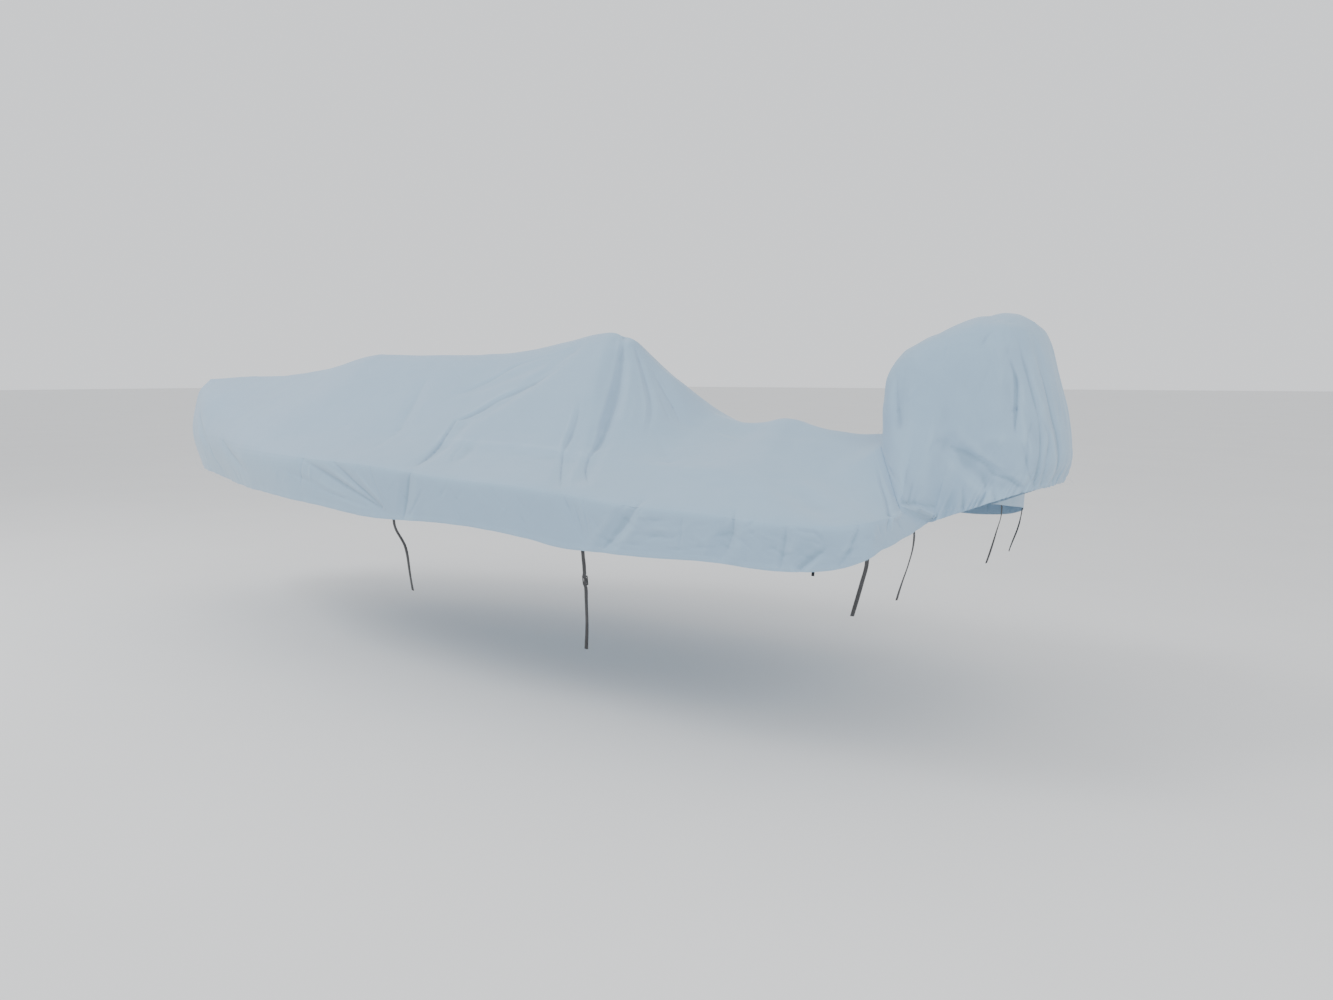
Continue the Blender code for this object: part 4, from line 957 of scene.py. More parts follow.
TOP_ROWS = {"port": top_rows(0.0112, 0.040), "starboard": top_rows(0.0330, 0.076)}
SKIRT_SPARE = {"port": 22, "starboard": 16}  # rows between the gunwale and the hem band
HEM_BAND = np.array([0.023, 0.0205, 0.018, 0.016, 0.010, 0.004, 0.0012, 0.0])
GRID_LEAN = table(
    "girth aft",
    [(0.0, 0.0), (0.3, 0.10), (0.55, 0.14), (0.8, 0.17), (1.0, 0.19), (1.5, 0.27), (1.9, 0.34), (3.0, 0.34)],
)
LEAN_BEGINS = (3.4, 4.3)  # the lean grows over this way along the gunwale
LEAN_ENDS = (4.75, 5.75)  # and goes again over this one


def leaned(along, girth):
    """Where the columns of the grid really lie: below the peak they lean aft."""
    share = eased(along, *LEAN_BEGINS) * (1 - eased(along, *LEAN_ENDS))
    return along + share * np.interp(np.abs(girth), GRID_LEAN["girth"], GRID_LEAN["aft"])


def rows_to_hem(upper, last_run, spare):
    """The rows at each place: the upper ones, spare ones, and the last few by their way from the hem."""
    drop = np.linalg.norm(last_run, axis=-1)[:, None]
    lowest = 3 - HEM_BAND[0] / drop
    middle = upper[-1] + (lowest - upper[-1]) * np.linspace(0, 1, spare + 2)[1:-1]
    return np.concatenate([np.repeat(upper[None], len(drop), 0), middle, 3 - HEM_BAND / drop], 1)


def skirt_rows(along, spare):
    """Girth of the skirt's rows at each place along."""
    gunwale, hem = body_corners(along)[2:]
    return rows_to_hem(steps((2.0, 0.009), (2.018, 0.03), (2.14, 1)), hem - gunwale, spare)


print(len(COLUMNS), "columns,", len(TOP_ROWS["port"]), "rows above the gunwale to port")

# %% [markdown]
# ## A sheet of cloth
#
# Every sheet starts as Blender's own grid, whose corners are then moved to their places. It keeps a UV map in
# metres, along the cloth and down it, which the weave follows later. It also keeps how deep each point lies
# in its crease, so that the finish can paint a little shade into a hollow. Solidify gives the cloth its
# thickness on the inner side, and leaves the outer side where it is.

# %% Work on one object


def only(obj):
    """Selects one object and nothing else."""
    bpy.ops.object.select_all(action="DESELECT")
    obj.select_set(True)
    bpy.context.view_layer.objects.active = obj


def applied(obj, kind, **settings):
    """Adds a modifier with its settings, and applies it."""
    only(obj)
    modifier = obj.modifiers.new("step", kind)
    for name, value in settings.items():
        setattr(modifier, name, value)
    bpy.ops.object.modifier_apply(modifier=modifier.name)


def in_edit_mode(obj, *operators):
    """Runs operators on the whole mesh of an object."""
    only(obj)
    bpy.ops.object.mode_set(mode="EDIT")
    bpy.ops.mesh.select_all(action="SELECT")
    for operator, settings in operators:
        operator(**settings)
    bpy.ops.object.mode_set(mode="OBJECT")


# %% Lengths and hollows on a grid
HOLLOW_REACH = 0.035  # how far round a point the cloth counts, where its hollow is measured


def lengths(points, axis):
    """Distance of each point from the first one on its line."""
    run = np.linalg.norm(np.diff(points, axis=axis), axis=-1)
    start = np.zeros_like(np.take(run, [0], axis))
    return np.concatenate([start, np.cumsum(run, axis)], axis)


def hollow(points, shift):
    """How far each point lies below the cloth round it."""
    blurred = shift.copy()
    for axis in (0, 1):
        place = lengths(points, axis)
        total = np.concatenate([np.zeros_like(np.take(place, [0], axis)), np.cumsum(blurred, axis)], axis)
        spacing = np.median(np.diff(place, axis=axis))
        half = max(1, round(HOLLOW_REACH / spacing))
        size = blurred.shape[axis]
        low, high = np.clip(np.arange(size) - half, 0, size), np.clip(np.arange(size) + half + 1, 0, size)
        count = (high - low).reshape((-1, 1) if axis == 0 else (1, -1))
        blurred = (np.take(total, high, axis) - np.take(total, low, axis)) / count
    return blurred - shift


# %% Make a sheet from its points
CLOTH_THICK = 0.0022
MERGED = 1e-5  # points closer than this become one, as at the tip of the bow


def crossed(points):
    """Normals of a grid of points, of any length and all on one side."""
    return np.cross(np.gradient(points, axis=0), np.gradient(points, axis=1))


def shaped_grid(name, points, along, down):
    """Blender's grid with its corners moved to the points, and the column and row of each of its corners.

    The place of a point on the flat cloth, along and down, goes into the UV map.
    """
    columns, rows = points.shape[0] - 1, points.shape[1] - 1
    bpy.ops.object.select_all(action="DESELECT")
    bpy.ops.mesh.primitive_grid_add(x_subdivisions=columns, y_subdivisions=rows, size=2)
    made = bpy.context.object
    made.name = made.data.name = name
    mesh = made.data
    flat = np.empty(len(mesh.vertices) * 3)
    mesh.vertices.foreach_get("co", flat)
    flat = flat.reshape(-1, 3)
    i = np.rint((flat[:, 0] + 1) / 2 * columns).astype(int)
    j = np.rint((flat[:, 1] + 1) / 2 * rows).astype(int)
    mesh.vertices.foreach_set("co", points[i, j].ravel())
    corner = np.empty(len(mesh.loops), int)
    mesh.loops.foreach_get("vertex_index", corner)
    flat_place = np.stack([along[i, j], down[i, j]], -1)[corner]
    mesh.uv_layers.active.data.foreach_set("uv", flat_place.ravel())
    return made, (i, j)


def sheet(name, moved, out, depth, along, down):
    """A sheet with its outer side on the moved points, of a known depth below the cloth round them."""
    made, place = shaped_grid(name, moved, along, down)
    made.data.attributes.new("hollow", "FLOAT", "POINT").data.foreach_set("value", depth[place])
    work = [(bpy.ops.mesh.remove_doubles, {"threshold": MERGED})]
    if np.sum(crossed(moved) * out) < 0:
        work.append((bpy.ops.mesh.flip_normals, {}))
    in_edit_mode(made, *work)
    applied(made, "SOLIDIFY", thickness=CLOTH_THICK, offset=-1.0)
    bpy.ops.object.shade_smooth_by_angle(angle=math.radians(55))
    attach(made, "root")
    print(name, len(made.data.vertices), "points")
    return made


# %% [markdown]
# ## The body panel
#
# Four things move the body's cloth: the main folds, the creases, the long waves, and the hem. The hem is a
# turned edge 20 mm wide, so it stands a millimetre proud and has its row of stitches near its upper side.
# Towards that free edge the cloth ripples a little. Next to the hood everything dies away but the seam
# itself, whose turned edges make a low welt on either side of the line.

# %% Shift of the body panel
HEM_WIDE = 0.020
BODY_HEM_PROUD = 0.0012
STITCH_UP = 0.018
STITCH_GROOVE_WIDE = 0.0016
STITCH_GROOVE_DEEP = 0.0006
WELT_PROUD = 0.0010
RIPPLE_DEEP = 0.0013
RIPPLE_UP = 0.05  # how far above the hem the ripples reach
BODY_WAVES = ((0.0020, 0.35, 0.80, 11), (0.0006, 0.12, 0.25, 12))  # height, shortest, longest and seed


def turned_edge(to_hem, here, proud):
    """The turned edge of a hem, proud of the cloth but for the groove that its stitches pull into it."""
    band = (1 - eased(to_hem, HEM_WIDE - 0.001, HEM_WIDE + 0.002)) * here
    groove = np.exp(-(((to_hem - STITCH_UP) / STITCH_GROOVE_WIDE) ** 2))
    return proud * band - STITCH_GROOVE_DEEP * groove * band


def welt(to_seam, wide):
    """The welt beside a seam, from 0 to 1."""
    return eased(to_seam, 0.0, 0.003) * (1 - eased(to_seam, wide, wide + 0.003))


def body_shift(points, out, along, girth):
    """How far the body's cloth stands out from its smooth surface."""
    to_seam = SEAM_ALONG - along
    gunwale, hem = body_corners(along)[2:]
    to_hem = (3 - np.abs(girth)) * np.linalg.norm(hem - gunwale, axis=-1)
    free = eased(to_seam, 0.0, 0.06)
    shift = main_folds(points, body_surface, BODY_FOLDS) * np.clip(to_seam / 0.25, 0, 1)
    finer = creases(points, out, body_surface, BODY_CREASES) + tucks(points, out, body_surface, BODY_TUCKS)
    shift += finer * eased(to_seam, 0.004, 0.022)
    for height, *wave in BODY_WAVES:
        shift += free * height * waves(points, *wave)
    on_skirt = np.abs(girth) > 2
    near_hem = np.where(on_skirt, np.exp(-to_hem / RIPPLE_UP), 0)
    shift += free * RIPPLE_DEEP * near_hem * waves(points * (1, 1, 0.2), 0.06, 0.16, 13)
    shift += turned_edge(to_hem, on_skirt, BODY_HEM_PROUD) * eased(to_seam, 0.0, 0.012)
    return shift + WELT_PROUD * welt(to_seam, 0.012)


def body_sheets(names, columns, girth, halved=False):
    """Sheets of the body panel side by side, from the places of their common grid, and its moved points.

    Where its columns are halved, the first row keeps to the straight edges of a sheet that has half as many.
    """
    along = leaned(columns[:, None], girth)
    points = body_surface(along, girth)
    out = outward(body_surface, along, girth, BODY_INSIDE)
    shift = body_shift(points, out, along, girth)
    moved = points + out * shift[..., None]
    if halved:
        moved[1::2, 0] = (moved[:-1:2, 0] + moved[2::2, 0]) / 2
    corners = body_corners(columns)
    runs = np.linalg.norm(np.diff(corners, axis=0), axis=-1)
    total = np.concatenate([0 * runs[:1], np.cumsum(runs, 0)])
    down = np.stack([np.interp(np.abs(g), (0, 1, 2, 3), t) for g, t in zip(girth, total.T)])
    values = moved, out, hollow(points, shift), along, down
    ends = (0, TOP_SPLIT, len(columns) - 1) if len(names) == 2 else (0, len(columns) - 1)
    parts = [[value[start : end + 1] for value in values] for start, end in zip(ends, ends[1:])]
    return [sheet(name, *part) for name, part in zip(names, parts)], moved


# %% Tops and skirts
TOP_NAMES = {"port": ("cover_top_port_fore", "cover_top_port_aft"), "starboard": ("cover_top_starboard",)}
TOPS = {}
SKIRTS = {}
for side, side_name, columns in ((-1, "port", FINE_COLUMNS), (1, "starboard", COLUMNS)):
    top_girth = np.repeat(side * TOP_ROWS[side_name][None], len(COLUMNS), 0)
    TOPS[side_name] = body_sheets(TOP_NAMES[side_name], COLUMNS, top_girth)
    skirt_girth = side * skirt_rows(leaned(columns, 3.0), SKIRT_SPARE[side_name])
    SKIRTS[side_name] = body_sheets((f"cover_skirt_{side_name}",), columns, skirt_girth, side < 0)

# %% [markdown]
# ## The hood
#
# The hood has the same four movements, and one more: its free hem is drawn in by a cord, so the cloth above
# it stands in small gathers. Gathers are never alike, so their spacing drifts along the hem, and they die away
# upwards within a hand's width. In front the hood's edge is the body panel's, point for point.

# %% Shift of the hood
HALF_ROUND = {
    side_name: np.concatenate(
        [
            rows[:-1],
            skirt_rows(COLUMNS[-1:], SKIRT_SPARE[side_name])[0],
            steps((3.0, 0.039), (4.0, 0.032), (5.0, 0.0225), (6.0, 1))[1:],
        ]
    )
    for side_name, rows in TOP_ROWS.items()
}
AROUND = np.concatenate([-HALF_ROUND["port"][:0:-1], HALF_ROUND["starboard"]])
HOOD_SPARE = 30  # rows between the waist and the hem band
HOOD_HEM_PROUD = 0.0014
HOOD_WAVES = ((0.0020, 0.20, 0.50, 21), (0.0008, 0.08, 0.16, 22))
GATHER_PITCH = 0.034
GATHER_DEEP = 0.0042
GATHER_UP = 0.085  # how far above the hem the gathers reach


def hood_rows(around, spare):
    """Girth of the hood's rows at each place round it."""
    waist, edge = hood_corners(np.abs(around))[2:]
    return rows_to_hem(steps((0.0, 0.02), (0.04, 0.043), (1.0, 0.027), (2.0, 1)), edge - waist, spare)


def hood_shift(points, out, around, girth):
    """How far the hood's cloth stands out from its smooth surface."""
    waist, edge = hood_corners(np.abs(around))[2:]
    to_edge = (3 - girth) * np.linalg.norm(edge - waist, axis=-1)
    behind = eased(np.abs(around), HOOD_SEAM_END, HOOD_SEAM_END + 0.35)
    sewn_edge = np.clip((3 - girth) / 0.8, 0, 1)
    shift = main_folds(points, hood_surface, HOOD_FOLDS) * np.minimum(sewn_edge + 0.6 * behind, 1)
    free = np.maximum(eased(to_edge, 0.004, 0.03), behind)
    finer = creases(points, out, hood_surface, HOOD_CREASES) + tucks(points, out, hood_surface, HOOD_TUCKS)
    shift += finer * free
    for height, *wave in HOOD_WAVES:
        shift += free * height * waves(points, *wave)
    run = lengths(hood_surface(around[:, 0], 3.0), 0)[:, None]
    turn = run / GATHER_PITCH + 0.42 * np.sin(run / 0.021 + 1.0) + 0.3 * np.sin(run / 0.047)
    uneven = 0.65 + 0.35 * np.sin(run / 0.037 + 0.4)
    fading = np.exp(-((to_edge / GATHER_UP) ** 1.5))
    shift += GATHER_DEEP * behind * uneven * fading * np.sin(2 * np.pi * turn)
    shift += turned_edge(to_edge, behind, HOOD_HEM_PROUD)
    shift += WELT_PROUD * (welt(to_edge, 0.007) * (1 - behind))
    tips = [hood_surface(0.0, 0.0), hood_surface(6.0, 0.0)]
    near_tip = sum(np.exp(-((np.linalg.norm(points - tip, axis=-1) / 0.03) ** 2)) for tip in tips)
    return shift * (1 - np.clip(near_tip, 0, 1))


# %% Hood
girth_grid = hood_rows(AROUND, HOOD_SPARE)
around_grid = np.repeat(AROUND[:, None], girth_grid.shape[1], 1)
smooth_hood = hood_surface(around_grid, girth_grid)
hood_out = outward(hood_round, around_grid, np.maximum(girth_grid, 0.004), HOOD_INSIDE)
hood_lift = hood_shift(smooth_hood, hood_out, around_grid, girth_grid)
hood_across = lengths(hood_surface(around_grid, 2.0), 0)
hood_down = lengths(smooth_hood, 1)
hood_points = smooth_hood + hood_out * hood_lift[..., None]
HOOD = sheet("hood", hood_points, hood_out, hollow(smooth_hood, hood_lift), hood_across, hood_down)

# %% [markdown]
# ## Stitches
#
# A row of lock stitches is a row of little bars with a dent between them. One bar is modelled from a small
# sphere with five sides, and copied by numbers into one mesh, because a few thousand objects would only slow
# Blender down. The rows follow the finished cloth: one above the hem, and one on either side of the seam
# between the body panel and the hood.

# %% One stitch, and rows of it
STITCH_LONG = 0.0042
STITCH_THICK = 0.0009
STITCH_PITCH = 0.0055

bpy.ops.object.select_all(action="DESELECT")
bpy.ops.mesh.primitive_uv_sphere_add(segments=5, ring_count=3, radius=0.5)
one_stitch = bpy.context.object
in_edit_mode(one_stitch, (bpy.ops.transform.resize, {"value": (STITCH_THICK, STITCH_THICK, STITCH_LONG)}))
STITCH_POINTS = np.array([vertex.co[:] for vertex in one_stitch.data.vertices])
STITCH_FACES = [tuple(face.vertices) for face in one_stitch.data.polygons]
bpy.data.objects.remove(one_stitch)


def stitch_row(line, out):
    """Points of the stitches along a line on the cloth, whose outward normals are given."""
    run = lengths(line, 0)
    places = np.arange(STITCH_PITCH, run[-1] - STITCH_PITCH, STITCH_PITCH)

    def values(rows, at):
        return np.stack([np.interp(at, run, axis) for axis in rows.T], -1)

    course = unit(values(line, places + 0.002) - values(line, places - 0.002))
    across = unit(np.cross(values(out, places), course))
    up = np.cross(course, across)
    frames = np.stack([across, up, course], 1)
    return (values(line, places) + up * STITCH_THICK * 0.1)[:, None] + STITCH_POINTS @ frames


def stitches(name, *rows):
    """One object with all the stitches of the rows."""
    points = np.concatenate(rows)
    count = len(STITCH_POINTS)
    faces = [tuple(k * count + v for v in face) for k in range(len(points)) for face in STITCH_FACES]
    mesh = bpy.data.meshes.new(name)
    mesh.from_pydata(points.reshape(-1, 3).tolist(), [], faces)
    made = bpy.data.objects.new(name, mesh)
    bpy.context.scene.collection.objects.link(made)
    only(made)
    bpy.ops.object.shade_smooth()
    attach(made, "root")
    print(name, len(points), "stitches")
    return made


HEM_ROW = -len(HEM_BAND)  # the row of the grid where the hem's band starts
STITCH_ROW = HEM_ROW + 2  # and the one that lies where the stitches are
SEAM_LINE = -3  # the column of the body's grid, and the row of the hood's, where the seam's stitches are
SHORT_OF_SEAM = -6  # the column where the stitches of the hem end
STITCHES = {}
for side_name in ("port", "starboard"):
    skirt, top = SKIRTS[side_name][1], TOPS[side_name][1]
    skirt_out = turned_away(crossed(skirt), skirt, BODY_INSIDE)
    top_out = turned_away(crossed(top), top, BODY_INSIDE)
    hem_row = stitch_row(skirt[:SHORT_OF_SEAM, STITCH_ROW], skirt_out[:SHORT_OF_SEAM, STITCH_ROW])
    seam_line = np.concatenate([top[SEAM_LINE, :-1], skirt[SEAM_LINE, :HEM_ROW]])
    seam_out = np.concatenate([top_out[SEAM_LINE, :-1], skirt_out[SEAM_LINE, :HEM_ROW]])
    STITCHES[side_name] = stitches(f"hem_stitches_{side_name}", hem_row, stitch_row(seam_line, seam_out))

hood_facing = turned_away(crossed(hood_points), hood_points, HOOD_INSIDE)
HEM_FROM = 3.3  # round the hood, the stitches of its hem start here
SEAM_TO = 2.95  # and those of its seam end here
back_port, back_starboard = AROUND < -HEM_FROM, AROUND > HEM_FROM
sewn = np.abs(AROUND) < SEAM_TO
STITCHES["hood"] = stitches(
    "hood_stitches",
    stitch_row(hood_points[back_port, STITCH_ROW], hood_facing[back_port, STITCH_ROW]),
    stitch_row(hood_points[back_starboard, STITCH_ROW], hood_facing[back_starboard, STITCH_ROW]),
    stitch_row(hood_points[sewn, SEAM_LINE], hood_facing[sewn, SEAM_LINE]),
)

# %% [markdown]
# ## Tie-down straps
#
# A strap is a length of flat webbing that is sewn to the inside of the hem. It hangs from there to its free
# end, which is cut with a hot knife so that it doesn't fray. Its path is a smooth line from the top of its lap
# by the hem and a middle point to the end. Rays from inside the cover find the cloth's inner side over the
# whole lap, and the webbing lies just short of the nearest place, so that it touches nothing and yet shows no
# gap.

# %% Sizes of the straps
WEBBING_WIDTH = 0.020
WEBBING_THICK = 0.0016
WEBBING_LAP = 0.022
WEBBING_GAP = 0.0004
NECK = 0.02  # how far below the hem a strap still lies as the skirt does
WEBBING_STEP = 0.0035
FRAME_ROW = 2.7875  # girth of the solids' last row above the hem
RAY_START = 0.05  # how far inside the hem the rays start
BY_BUCKLE = 0.02  # a strap's course at its buckle is taken over this length either way
STRAP_NAMES = ("bow", "mid", "stern", "transom")
STRAPS = table(
    "along mid_aft mid_in mid_down end_aft end_in end_down buckle_down",
    [
        (3.62, 0.01, 0.06, 0.15, -0.02, 0.13, 0.39, 0.0),
        (4.88, 0.01, 0.01, 0.20, 0.00, 0.02, 0.45, 0.135),
        (6.19, -0.02, 0.00, 0.10, -0.06, 0.00, 0.23, 0.0),
        (6.46, -0.02, 0.00, 0.14, -0.07, 0.00, 0.30, 0.0),
    ],
)
BUCKLE_WAY = table(
    "down out",
    [
        (-0.031, 0.0),
        (-0.024, 0.0037),
        (-0.015, 0.0037),
        (-0.004, -0.0037),
        (0.004, -0.0037),
        (0.015, 0.0037),
        (0.024, 0.0037),
        (0.031, 0.0),
    ],
)
rib_places = [
    np.linspace(start, end, int(cells) + 1)[:-1]
    for start, end, cells in zip(RIB_ALONG, RIB_ALONG[1:], BODY_RIBS["cells"][1:])
]
FRAME_COLUMNS = np.append(np.concatenate(rib_places), SEAM_ALONG)
print(len(STRAP_NAMES), "straps a side")

# %% Where a strap hangs


def strap_frame(skirt, along, side):
    """Where a strap leaves the hem: its point on the cloth's inner side, and the ways down, along and out."""
    column = np.searchsorted(FRAME_COLUMNS, along) - 1
    pair = FRAME_COLUMNS[column : column + 2]
    hem, above = body_surface(pair, side * 3.0), body_surface(pair, side * FRAME_ROW)
    out = np.cross(hem.mean(0) - above.mean(0), hem[1] - hem[0])
    out *= np.sign(out.dot(hem.mean(0) - BODY_INSIDE)) / np.linalg.norm(out)
    down = unit(out * out[2] - (0, 0, 1))
    width = np.cross(out, down)
    start = hem.mean(0) - out * RAY_START
    inner_side = BVHTree.FromObject(skirt, bpy.context.evaluated_depsgraph_get())
    rays = [
        start + width * WEBBING_WIDTH * across - down * WEBBING_LAP * up
        for across in (-0.5, -0.25, 0, 0.25, 0.5)
        for up in (0.1, 0.4, 0.7, 1)
    ]
    reach = min(hit for hit in (inner_side.ray_cast(ray, out)[3] for ray in rays) if hit)
    return start + out * (reach - WEBBING_GAP), down, width, out


def strap_path(strap, start, side):
    """Middle line of a strap's outer side, and the middle and the course of its buckle."""
    hem, down, _, out = start
    way = np.array([1, -side, -1])
    middle = hem + way * (strap["mid_aft"], strap["mid_in"], strap["mid_down"])
    end = hem + way * (strap["end_aft"], strap["end_in"], strap["end_down"])
    lap, neck = hem - down * WEBBING_LAP, hem + down * NECK
    corners = np.stack([lap, hem, neck, middle, end])
    at = lengths(corners, 0)
    places = steps((0.0, WEBBING_STEP), (at[-1], 1))
    centre = WEBBING_LAP + strap["buckle_down"]
    shift = 0 * places
    if strap["buckle_down"]:
        by_buckle, off_hem = BUCKLE_WAY["down"], BUCKLE_WAY["out"]
        shift = monotone(by_buckle, off_hem, np.clip(places - centre, by_buckle[0], by_buckle[-1]))
    line = np.stack([monotone(at, axis, places) for axis in corners.T], -1)
    ends = [centre - BY_BUCKLE, centre + BY_BUCKLE]
    middle = np.stack([monotone(at, axis, ends) for axis in corners.T], -1)
    course = unit(middle[1] - middle[0])
    return line + shift[:, None] * out, places, middle.mean(0) - out * WEBBING_THICK / 2, course


# %% [markdown]
# The webbing itself is a narrow grid with a thickness, and a bevel rounds its edges, as woven edges are. A
# slack strap never hangs quite flat, so it cups, sways and turns a little on its way down. The buckle keeps it
# straight where it has one.

# %% Webbing
TURN_LENGTH = 0.07
SWAY_LENGTH = 0.043
SWAY = 0.0022
CUP = 0.0014


def webbing(name, line, places, width, out, straight, seed):
    """A strap on its middle line, with its outer side towards out."""
    chance = np.random.default_rng(seed)
    course = unit(np.gradient(line, axis=0))
    across = unit(width - course * (course @ width)[:, None])
    face = np.cross(across, course)
    face *= np.sign(np.sum(face * out))
    loose = eased(places, WEBBING_LAP + 0.015, WEBBING_LAP + 0.08)
    if straight:
        loose = loose * eased(np.abs(places - straight), 0.035, 0.09)
    turn = loose * chance.uniform(0.12, 0.2) * np.sin(places / TURN_LENGTH + chance.uniform(0, 6))
    sway = loose * SWAY * np.sin(places / SWAY_LENGTH + chance.uniform(0, 6))
    share = np.linspace(-0.5, 0.5, 9)
    tilt = across * np.cos(turn)[:, None] + face * np.sin(turn)[:, None]
    points = line[:, None] + tilt[:, None] * (share * WEBBING_WIDTH)[None, :, None]
    cupped = CUP * loose[:, None] * (4 * share**2)[None]
    points = points + face[:, None] * (sway[:, None] - cupped)[..., None]
    strap, _ = shaped_grid(name, points, *np.broadcast_arrays(share * WEBBING_WIDTH, places[:, None]))
    if np.sum(crossed(points) * face[:, None]) < 0:
        in_edit_mode(strap, (bpy.ops.mesh.flip_normals, {}))
    applied(strap, "SOLIDIFY", thickness=WEBBING_THICK, offset=-1.0)
    applied(strap, "BEVEL", width=0.0005, segments=2, limit_method="ANGLE", angle_limit=math.radians(50))
    bpy.ops.object.shade_smooth_by_angle(angle=math.radians(45))
    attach(strap, "root")
    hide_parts(name.replace("webbing", "strap"))
    return strap


# %% [markdown]
# ## Slide buckles
#
# A slide buckle is a moulded plate with two windows and a bar between them, over which the webbing turns
# back. It starts as a flat plane. Straight cuts divide it where the windows begin and end, the faces inside
# the windows are taken out, and what is left is raised to its thickness. A bevel then rounds every edge, as a
# mould has to.

# %% Slide buckle
BUCKLE_LONG = 0.044
BUCKLE_WIDE = 0.030
BUCKLE_THICK = 0.0045
BUCKLE_RAIL = 0.0042
BUCKLE_BAR = 0.0060
BUCKLE_CORNER = 0.005


def cut(places, way):
    """Cuts the mesh in hand straight across, at each place along a way."""
    for place in places:
        bpy.ops.mesh.select_all(action="SELECT")
        bpy.ops.mesh.bisect(plane_co=Vector(way) * place, plane_no=way)


def round_corners(buckle, half_long, half_wide):
    """Rounds the four outer corners, seen from above, by a bevel of their upright edges."""
    only(buckle)
    bpy.ops.object.mode_set(mode="EDIT")
    bpy.ops.mesh.select_all(action="DESELECT")
    bpy.ops.object.mode_set(mode="OBJECT")
    for vertex in buckle.data.vertices:
        vertex.select = False
    for edge in buckle.data.edges:
        ends = [buckle.data.vertices[k].co for k in edge.vertices]
        upright = abs(ends[0].z - ends[1].z) > BUCKLE_THICK / 2
        corner = all(abs(p.x) > half_wide - 1e-4 and abs(p.y) > half_long - 1e-4 for p in ends)
        edge.select = upright and corner
    bpy.ops.object.mode_set(mode="EDIT")
    bpy.ops.mesh.select_mode(type="EDGE")
    bpy.ops.mesh.bevel(offset=BUCKLE_CORNER, segments=5, affect="EDGES")
    bpy.ops.mesh.select_mode(type="VERT")
    bpy.ops.object.mode_set(mode="OBJECT")


def slide_buckle(name, centre, across, course):
    """A slide buckle with its long side on the course of its strap."""
    bpy.ops.object.select_all(action="DESELECT")
    bpy.ops.mesh.primitive_plane_add(size=1)
    buckle = bpy.context.object
    buckle.name = buckle.data.name = name
    half_long, half_wide = BUCKLE_LONG / 2, BUCKLE_WIDE / 2
    bpy.ops.object.mode_set(mode="EDIT")
    bpy.ops.transform.resize(value=(BUCKLE_WIDE, BUCKLE_LONG, 1))
    cut((-half_wide + BUCKLE_RAIL, half_wide - BUCKLE_RAIL), (1, 0, 0))
    cut((-half_long + BUCKLE_BAR, -BUCKLE_BAR / 2, BUCKLE_BAR / 2, half_long - BUCKLE_BAR), (0, 1, 0))
    bpy.ops.object.mode_set(mode="OBJECT")
    for face in buckle.data.polygons:
        x, y = abs(face.center.x), abs(face.center.y)
        face.select = x < half_wide - BUCKLE_RAIL and BUCKLE_BAR / 2 < y < half_long - BUCKLE_BAR
    bpy.ops.object.mode_set(mode="EDIT")
    bpy.ops.mesh.delete(type="FACE")
    bpy.ops.mesh.select_all(action="SELECT")
    bpy.ops.mesh.extrude_region_move(TRANSFORM_OT_translate={"value": (0, 0, BUCKLE_THICK)})
    bpy.ops.mesh.select_all(action="SELECT")
    bpy.ops.mesh.normals_make_consistent(inside=False)
    bpy.ops.transform.translate(value=(0, 0, -BUCKLE_THICK / 2))
    bpy.ops.object.mode_set(mode="OBJECT")
    round_corners(buckle, half_long, half_wide)
    applied(buckle, "BEVEL", width=0.0009, segments=3, limit_method="ANGLE", angle_limit=math.radians(40))
    bpy.ops.object.shade_smooth_by_angle(angle=math.radians(35))
    across = unit(across - course * course.dot(across))
    frame_axes = np.stack([across, -course, np.cross(course, across)])
    places = np.array([vertex.co[:] for vertex in buckle.data.vertices])
    buckle.data.vertices.foreach_set("co", (centre + places @ frame_axes).ravel())
    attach(buckle, "root")
    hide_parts(name)
    return buckle


# %% Hang the straps
WEBBINGS = {"port": [], "starboard": []}
BUCKLES = []
for number, strap_name in enumerate(STRAP_NAMES):
    strap = {column: values[number] for column, values in STRAPS.items()}
    for side, side_name in ((-1, "port"), (1, "starboard")):
        start = strap_frame(SKIRTS[side_name][0][0], strap["along"], side)
        line, places, centre, course = strap_path(strap, start, side)
        straight = WEBBING_LAP + strap["buckle_down"] if strap["buckle_down"] else 0
        width, out = start[2], start[3]
        name = f"webbing_{strap_name}_{side_name}"
        seed = 30 + 2 * number + (side > 0)
        WEBBINGS[side_name].append(webbing(name, line, places, width, out, straight, seed))
        if straight:
            BUCKLES.append(slide_buckle(f"buckle_{strap_name}_{side_name}", centre, width, course))
            WEBBINGS[side_name].append(BUCKLES[-1])
print(sum(len(pieces) for pieces in WEBBINGS.values()), "straps and buckles")

# %% [markdown]
# ## What replaces what
#
# The sheets stand for the frame's two cloths, and the straps and buckles for theirs.

COVER = []
for side_name in ("port", "starboard"):
    tops, skirt = TOPS[side_name][0], SKIRTS[side_name][0][0]
    for top in tops:
        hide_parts("cover_body")
    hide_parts("cover_body")
    COVER += [*tops, skirt]
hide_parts("motor_hood")
COVER.append(HOOD)
print(len(COVER), "sheets of cloth stand for the frame's two")

# %% [markdown]
# ## Writing finishes as sums
#
# Blender's materials are networks of nodes. A sum of three terms takes three Math nodes and reads badly when
# they are wired by hand. The small class below wraps one socket, and overloads plus, minus and times, so that
# a pattern can be written as it would be on paper. Any other node comes from one method of the finish.

# %% A value, with its sums


